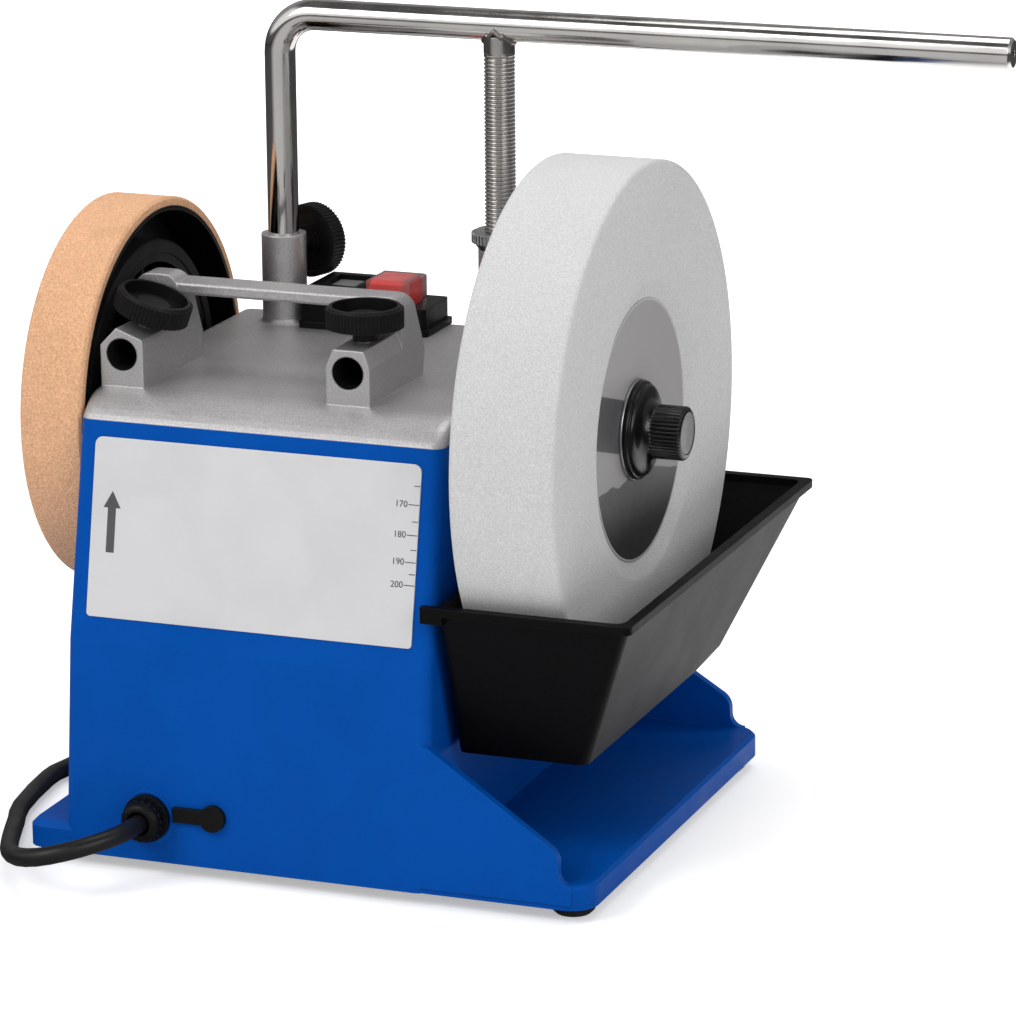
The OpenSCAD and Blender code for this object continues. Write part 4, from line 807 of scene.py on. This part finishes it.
@dataclass
class MainsCord:
    """The mains cord: over the bench, into a neat coil behind the machine, and on to its plug."""

    radius: float = 3.5
    coil_x: float = -33.3
    coil_y: float = 168.0
    coil_radius: float = 42.0
    step: float = 7.0
    steps_per_turn: int = 48
    steps_per_span: int = 2
    closest: float = 1.0
    route: Points = field(default_factory=lambda: [
        (-37.8, -103.4, 21.9), (-37.8, -110, 21.9), (-39.9, -120.7, 21.4), (-46, -129.8, 20),
        (-55.1, -135.9, 17.8), (-65.5, -137.4, 15.2), (-75.3, -133.5, 13), (-84, -122.5, 10.6),
        (-91.3, -108, 8), (-98.6, -91.5, 5.6), (-105.8, -73.5, 4), (-112.5, -55.5, 3.5),
        (-117.6, -22, 3.5), (-115.8, -5, 3.5), (-104.3, 60, 3.5), (-87.3, 135, 3.5), (-82.3, 168, 3.5)])
    tail: Points = field(default_factory=lambda: [
        (-67.95, 202.65, 10.5), (-59.3, 211, 10), (-49.3, 220, 8), (-38.3, 228, 6), (-27.3, 234, 7),
        (-16.3, 236, 8)])

    def build(self) -> None:
        """Lays the cord."""
        path = []
        for spot in self._smooth() + self._coil() + self.tail:
            if not path or math.dist(spot, path[-1]) > self.closest:
                path.append(spot)
        points = [place(*spot) for spot in path]
        data = bpy.data.curves.new("mains_cord", "CURVE")
        data.dimensions = "3D"
        data.bevel_depth = self.radius * MM
        data.bevel_resolution = 5
        data.use_fill_caps = True
        spline = data.splines.new("POLY")
        spline.points.add(len(points) - 1)
        for item, point in zip(spline.points, points):
            item.co = (*point, 1.0)
        data.materials.append(Palette.JACKET.material())
        cord = add_object("mains_cord", data)
        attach(cord, "machine")
        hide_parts("cord_tube", "cord_coil", "cord_tail")

    def _smooth(self) -> Points:
        """Returns points along the smooth curve through the route."""
        found = []
        points = [np.array(p, float) for p in self.route]
        last = len(points) - 1
        for i in range(last):
            a, b = points[max(i - 1, 0)], points[i]
            c, d = points[i + 1], points[min(i + 2, last)]
            for k in range(self.steps_per_span):
                t = k / self.steps_per_span
                found.append(tuple(
                    b + t * (c - a) / 2 + t * t * (2 * a - 5 * b + 4 * c - d) / 2
                    + t ** 3 * (3 * b - 3 * c + d - a) / 2))
        return found + [tuple(points[last])]

    def _coil(self) -> Points:
        """Returns the coil's turns: three inwards on the bench, then outwards on top of them."""
        middle = self.coil_radius
        outer, inner = middle + self.step, middle - self.step
        low, high = self.radius, 3 * self.radius
        # Each stretch: its turned angle, and the radius and height at its end.
        stretches = [
            (300, outer, low), (60, middle, low), (300, middle, low), (60, inner, low), (300, inner, low),
            (60, inner, high), (240, inner, high), (60, middle, high), (300, middle, high),
            (60, outer, high), (105, outer, high)]
        points = []
        angle, r0, z0 = 180.0, outer, low
        for sweep, r1, z1 in stretches:
            count = max(int(self.steps_per_turn * sweep / 360), 2)
            for k in range(1, count + 1):
                t = k / count
                s = t * t * (3 - 2 * t)
                a = math.radians(angle - sweep * t)
                r = r0 + (r1 - r0) * s
                points.append((self.coil_x + r * math.cos(a), self.coil_y + r * math.sin(a),
                               z0 + (z1 - z0) * s))
            angle, r0, z0 = angle - sweep, r1, z1
        return points


# ---- casing

class Assembly:
    """A sub-assembly: the pieces that it makes, and the finishes of its solids."""

    finishes: ClassVar[Finishes] = {}

    def build(self) -> None:
        """Makes its own pieces, where it has any."""

    def dress(self) -> None:
        """Gives each of its solids its finish."""
        for finish, nodes in self.finishes.items():
            for node in nodes:
                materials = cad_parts[node].data.materials
                materials.clear()
                materials.append(finish.material())
        LOG.info("dressed %s", type(self).__name__)


@dataclass
class Casing(Assembly):
    """The blue casing with its front label, feet, cord gland and plug. Lengths are in millimetres."""

    half_depth: float = 78.0
    seam_height: float = 165.5
    knee_out: float = 16.0
    knee_height: float = 85.0
    label_x: float = 0.2
    film: float = 0.54
    print_height: float = 0.06
    long_tick: float = 60.2
    short_tick: float = 62.0
    scale_end: float = 64.3
    tick_half: float = 0.15
    digit_size: float = 3.3
    digits_end: float = 59.9
    finishes: ClassVar[Finishes] = {
        Palette.BLUE: ("casing",), Palette.FILM: ("label_plate",), Palette.RUBBER: ("rubber_feet",),
        Palette.BLACK: ("bottom_cover", "cord_gland", "gland_strap", "plug"),
        Palette.ZINC: ("cover_screws", "casting_screws")}

    def build(self) -> None:
        """Makes the label's print: the arrow, then the scale of stone diameters."""
        self._arrow()
        for number, height in ((170, -20.4), (180, -31.4), (190, -41.2), (200, -49.5)):
            self._tick(f"scale_tick_{number}", self.long_tick, height)
            self._number(number, height)
        for count, height in enumerate((-13.6, -26.5, -36.7, -45.5)):
            self._tick(f"scale_half_{count}", self.short_tick, height)

    def on_label(self) -> Matrix:
        """Returns the matrix from the label's plane, X across and Y up the slope, to the frame."""
        tilt = math.atan2(self.knee_out, self.seam_height - self.knee_height)
        spot = place(self.label_x, -self.half_depth, self.seam_height)
        return (Matrix.Translation(spot) @ Matrix.Rotation(math.radians(90) - tilt, 4, "X")
                @ Matrix.Translation((0, 0, self.film * MM)))

    def _print(self, name: str, outline: Outline) -> None:
        """Raises an outline to a thin print.

        Args:
            name: the piece's name.
            outline: its corners on the label in millimetres, counter-clockwise.
        """
        turn = self.on_label()
        points = [turn @ Vector((x * MM, y * MM, z * MM))
                  for z in (0.0, self.print_height) for x, y in outline]
        mesh_piece(name, points, rod_faces(2, len(outline)), "machine", Palette.PRINT)

    def _arrow(self) -> None:
        """Makes the arrow that shows the stone's turning direction."""
        x, tip, tail = -56.4, -25.5, -48.2
        head, half_head, half_stem = 6.2, 3.4, 1.6
        self._print("label_arrow", [
            (x - half_stem, tail), (x + half_stem, tail), (x + half_stem, tip - head),
            (x + half_head, tip - head), (x, tip), (x - half_head, tip - head), (x - half_stem, tip - head)])

    def _tick(self, name: str, start: float, height: float) -> None:
        """Makes one line of the scale, from start to the scale's end."""
        low, high = height - self.tick_half, height + self.tick_half
        self._print(name, [(start, low), (self.scale_end, low), (self.scale_end, high), (start, high)])

    def _number(self, number: int, height: float) -> None:
        """Makes one number of the scale.

        Args:
            number: the diameter in millimetres.
            height: its place up the label.
        """
        name = f"scale_number_{number}"
        data = bpy.data.curves.new(name, "FONT")
        data.body = str(number)
        data.size = self.digit_size * MM
        data.align_x = "RIGHT"
        data.align_y = "CENTER"
        data.extrude = self.print_height * MM / 2
        text = add_object("scale_text", data)
        bpy.context.view_layer.update()
        mesh = bpy.data.meshes.new_from_object(text)
        bpy.data.objects.remove(text)
        mesh.transform(self.on_label() @ Matrix.Translation(
            (self.digits_end * MM, height * MM, self.print_height * MM / 2)))
        mesh.name = name
        mesh.materials.clear()
        mesh.materials.append(Palette.PRINT.material())
        piece = add_object(name, mesh)
        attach(piece, "machine")


# ---- top casting and switch

@dataclass
class TopCasting(Assembly):
    """The cast top, its bushes and the switch on it. Lengths are in metres."""

    cover_wall: float = 0.0011
    cover_side: float = 0.0035
    core_lift: float = 0.0005
    bevel: float = 0.0007
    finishes: ClassVar[Finishes] = {
        Palette.CASTING: ("top_casting",), Palette.BRONZE: ("bush_left", "bush_right"),
        Palette.BLACK: ("switch_housing",), Palette.GREY: ("start_button",)}

    def build(self) -> None:
        """Makes the stop button's clear cover and its red core."""
        low, high = (Vector(corner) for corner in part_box("stop_button"))
        self._block("stop_cover", low, high, Palette.CLEAR)
        wall = self.cover_wall
        core = self._block("stop_core", low + Vector((wall, wall, self.core_lift)),
                           high - Vector((self.cover_side, wall, wall)), Palette.RED)
        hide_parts("stop_button")

    def _block(self, name: str, low: Vector, high: Vector, finish: Palette) -> Piece:
        """Makes an upright block with bevelled upper edges.

        Args:
            name: the piece's name.
            low: its low corner.
            high: its high corner.
            finish: its finish.

        Returns:
            The new object.
        """
        points = []
        for z, inset in ((low.z, 0.0), (high.z - self.bevel, 0.0), (high.z, self.bevel)):
            x0, y0, x1, y1 = low.x + inset, low.y + inset, high.x - inset, high.y - inset
            points += [(x0, y0, z), (x1, y0, z), (x1, y1, z), (x0, y1, z)]
        return mesh_piece(name, points, rod_faces(3, 4), "stop_button", finish)


# ---- shaft group

@dataclass
class ShaftGroup(Assembly):
    """Stone, honing wheel and all that turns with the main shaft. Lengths are in millimetres."""

    shaft_height: float = 158.2
    bore: float = 6.15
    steps: int = 160
    stone_radius: float = 100.0
    arris: float = 1.5
    inner_face: float = 82.5
    outer_face: float = 122.5
    dish_radius: float = 55.6
    dish_floor: float = 119.4
    dish_middle: float = 117.4
    seat_radius: float = 20.0
    disc_radius: float = 49.0
    disc_thickness: float = 0.3
    disc_hole: float = 17.0
    washer_radius: float = 18.9
    washer_thickness: float = 1.2
    washer_edge: float = 0.25
    nut_gap: float = 0.02
    ribs: int = 40
    steps_per_rib: int = 6
    finishes: ClassVar[Finishes] = {
        Palette.STEEL: ("main_shaft",), Palette.ZINC: ("shaft_clips",),
        Palette.BLACK: ("stone_flange", "honing_drum"), Palette.LEATHER: ("leather_band",),
        Palette.RUBBER: ("friction_ring",), Palette.KNOB: ("honing_nut",)}

    def build(self) -> None:
        """Makes the dished stone, its disc, the washer and the knurled nut."""
        self._stone()
        self._disc()
        self._washer()
        self._nut()

    def _turn(self) -> Matrix:
        """Returns the matrix from an upright axis to the shaft, with heights as machine x."""
        return Matrix.Translation(place(0.0, 0.0, self.shaft_height)) @ Matrix.Rotation(
            math.radians(90), 4, "Y")

    def _turned(self, name: str, profile: Outline, finish: Palette, slot: str) -> Piece:
        """Turns an outline round the shaft into a piece that turns with it.

        Args:
            name: the piece's name.
            profile: its points as radius and machine x.
            finish: its finish.
            slot: not used.

        Returns:
            The new object.
        """
        turn = self._turn()
        points = [turn @ Vector((r * MM * math.cos(a), r * MM * math.sin(a), x * MM))
                  for a in angles(self.steps) for r, x in profile]
        return mesh_piece(name, points, ring_faces(self.steps, len(profile)), "shaft", finish)

    def _stone(self) -> None:
        """Makes the stone with rounded arrises and the shallow dish round its middle."""
        size, rim, floor = self.arris, self.stone_radius - self.arris, self.dish_floor
        corners = [(self.inner_face + size, range(-90, 1, 15)), (self.outer_face - size, range(0, 91, 15))]
        arrises = [(rim + size * math.cos(math.radians(a)), x + size * math.sin(math.radians(a)))
                   for x, turned in corners for a in turned]
        profile = [
            (self.bore, self.inner_face), *arrises, (self.dish_radius + 0.6, self.outer_face),
            (self.dish_radius - 0.2, self.outer_face - 0.25), (self.disc_radius + 0.9, floor + 0.2),
            (self.disc_radius + 0.2, floor), (self.seat_radius, self.dish_middle),
            (self.bore, self.dish_middle)]
        stone = self._turned("grindstone_dished", profile, Palette.STONE, "stone")
        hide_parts("grindstone")

    def _disc(self) -> None:
        """Makes the paper disc that lines the dish."""
        fall = (self.dish_floor - self.dish_middle) / (self.disc_radius + 0.2 - self.seat_radius)
        low = self.dish_middle + fall * (self.disc_radius - self.seat_radius)
        under = [(self.disc_hole, self.dish_middle), (self.seat_radius, self.dish_middle),
                 (self.disc_radius, low)]
        profile = under + [(r, x + self.disc_thickness) for r, x in reversed(under)]
        disc = self._turned("disc_lining", profile, Palette.DISC, "label_film")
        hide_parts("label_disc")

    def _washer(self) -> None:
        """Makes the bright washer under the nut."""
        start = self.dish_middle + self.disc_thickness
        end = start + self.washer_thickness
        r, edge = self.washer_radius, self.washer_edge
        profile = [(self.bore, start), (r - edge, start), (r, start + edge),
                   (r, end - edge), (r - edge, end), (self.bore, end)]
        washer = self._turned("washer_turned", profile, Palette.ZINC, "steel")
        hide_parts("stone_washer")

    def _nut(self) -> None:
        """Makes the quick-release nut: a glossy flange, its bell and the ribbed barrel."""
        start = self.dish_middle + self.disc_thickness + self.washer_thickness + self.nut_gap
        # Each row: radius, distance from the washer, depth of the grooves between the ribs.
        shape = [(17.9, 0.0, 0), (18.4, 0.4, 0), (18.5, 0.9, 0), (18.4, 1.5, 0), (18.0, 1.9, 0),
                 (17.3, 2.05, 0), (17.2, 2.4, 0), (17.3, 2.9, 0), (16.9, 3.5, 0), (15.9, 4.0, 0),
                 (14.4, 4.45, 0), (12.8, 4.95, 0), (11.6, 5.6, 0), (10.8, 6.4, 0), (10.3, 7.3, 0),
                 (10.1, 7.6, 0.15), (10.1, 8.0, 0.75), (10.1, 18.0, 0.75), (9.9, 18.35, 0.5),
                 (9.3, 18.8, 0.1), (8.7, 19.1, 0), (7.9, 19.2, 0), (7.6, 19.0, 0)]
        turn, steps = self._turn(), self.ribs * self.steps_per_rib
        points = []
        for radius, x, depth in shape:
            for angle in angles(steps):
                r = radius * MM - depth * MM * (0.5 + 0.5 * math.cos(angle * self.ribs)) ** 2
                spot = Vector((r * math.cos(angle), r * math.sin(angle), (start + x) * MM))
                points.append(turn @ spot)
        nut = mesh_piece("stone_nut_ribbed", points, rod_faces(len(shape), steps), "stone_nut",
                         Palette.NUT)
        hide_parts("stone_nut")


# ---- tool support

@dataclass
class ToolSupport(Assembly):
    """The bent support bar, its threaded leg, weld and adjusting nut. Lengths are in millimetres."""

    leg_x: float = 44.0
    leg_y: float = 54.9
    bar_height: float = 296.1
    leg_end: float = 152.0
    radius: float = 6.0
    steps: int = 40
    pitch: float = 1.5
    rows_per_turn: int = 8
    thread_depth: float = 0.75
    groove_half: float = 0.38
    plain_below_bar: float = 4.5
    run_out: float = 2.0
    into_bar: float = 4.0
    flat: float = 5.2
    bead: float = 1.15
    bead_steps: int = 72
    bead_sides: int = 10
    bead_sunk: float = 0.35
    bead_drop: float = 1.6
    bead_saddle: float = 5.2
    finishes: ClassVar[Finishes] = {
        Palette.STEEL: ("support_bar",), Palette.ZINC: ("adjusting_nut",)}

    def build(self) -> None:
        """Makes the threaded leg and the weld."""
        self._threaded_leg()
        self._weld()

    def _threaded_leg(self) -> None:
        """Makes the right leg with its cut thread and the flat that its lock screw meets."""
        thread_top = self.bar_height - self.radius - self.plain_below_bar
        length = self.bar_height - self.into_bar - self.leg_end
        rows = int(length / self.pitch * self.rows_per_turn)
        points = []
        for row in range(rows + 1):
            z = self.leg_end + length * row / rows
            depth = self.thread_depth * min(max((thread_top - z) / self.run_out, 0.0), 1.0)
            # The leg's end tapers over its last millimetre.
            taper = min(max(z - self.leg_end, 0.0), 1.0)
            for i, angle in enumerate(angles(self.steps)):
                phase = (z / self.pitch - i / self.steps) % 1.0
                groove = max(0.0, 1.0 - abs(phase - 0.5) / self.groove_half)
                r = self.radius - (1 - taper) - depth * groove
                x, y = r * math.cos(angle), min(r * math.sin(angle), self.flat)
                points.append(place(self.leg_x + x, self.leg_y + y, z))
        leg = mesh_piece("threaded_leg_cut", points, rod_faces(rows + 1, self.steps), "support",
                         Palette.LEG_STEEL, sharp=50)
        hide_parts("threaded_leg")

    def _weld(self) -> None:
        """Makes the small uneven bead where the leg meets the bar."""
        points = []
        for angle in angles(self.bead_steps):
            ripple = 1.0 + 0.14 * math.sin(angle * 11) + 0.07 * math.sin(angle * 17 + 1.0)
            out = Vector((math.cos(angle), math.sin(angle), 0))
            side = self.radius * math.sin(angle)
            z = self.bar_height - math.sqrt(max(self.radius ** 2 - side ** 2, 0.0))
            drop = self.bead_sunk if abs(side) < self.bead_saddle else self.bead_drop
            centre = Vector((self.leg_x, self.leg_y, z - drop)) + out * (self.radius - self.bead_sunk)
            for turn in angles(self.bead_sides):
                way = out * math.cos(turn) + Vector((0, 0, 1)) * math.sin(turn)
                points.append(place(*(centre + way * self.bead * ripple)))
        mesh_piece("weld_bead", points, ring_faces(self.bead_steps, self.bead_sides), "support",
                   Palette.WELD, sharp=60)


# ---- motor, knobs and trough

class Motor(Assembly):
    """The motor, its swing bracket and fan inside the casing."""

    finishes = {
        Palette.IRON: ("motor_stator",), Palette.CASTING: ("motor_end_bells", "capacitor"),
        Palette.ZINC: ("motor_bracket", "motor_spring"), Palette.STEEL: ("motor_pin", "motor_shaft"),
        Palette.BLACK: ("motor_fan",)}


class LockingKnobs(Assembly):
    """The four knobs that clamp the support's legs, and their screws."""

    places: ClassVar[tuple[str, ...]] = ("front_left", "front_right", "rear_left", "rear_right")
    finishes = {
        Palette.KNOB: tuple(f"knob_{spot}" for spot in places),
        Palette.ZINC: tuple(f"screw_{spot}" for spot in places)}


class Trough(Assembly):
    """The water trough."""

    finishes = {Palette.TROUGH: ("water_trough",)}


# ---- main


def main() -> None:
    """Builds the scene and reports each piece."""
    logging.basicConfig(level=logging.INFO, format="%(name)s: %(message)s")
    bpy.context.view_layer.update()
    bpy.context.scene.view_settings.view_transform = "Standard"
    Studio().build()
    MainsCord().build()
    parts = (Casing(), TopCasting(), ShaftGroup(), ToolSupport(), Motor(), LockingKnobs(), Trough())
    for part in parts:
        part.build()
    for part in parts:
        part.dress()


if __name__ == "__main__":
    main()
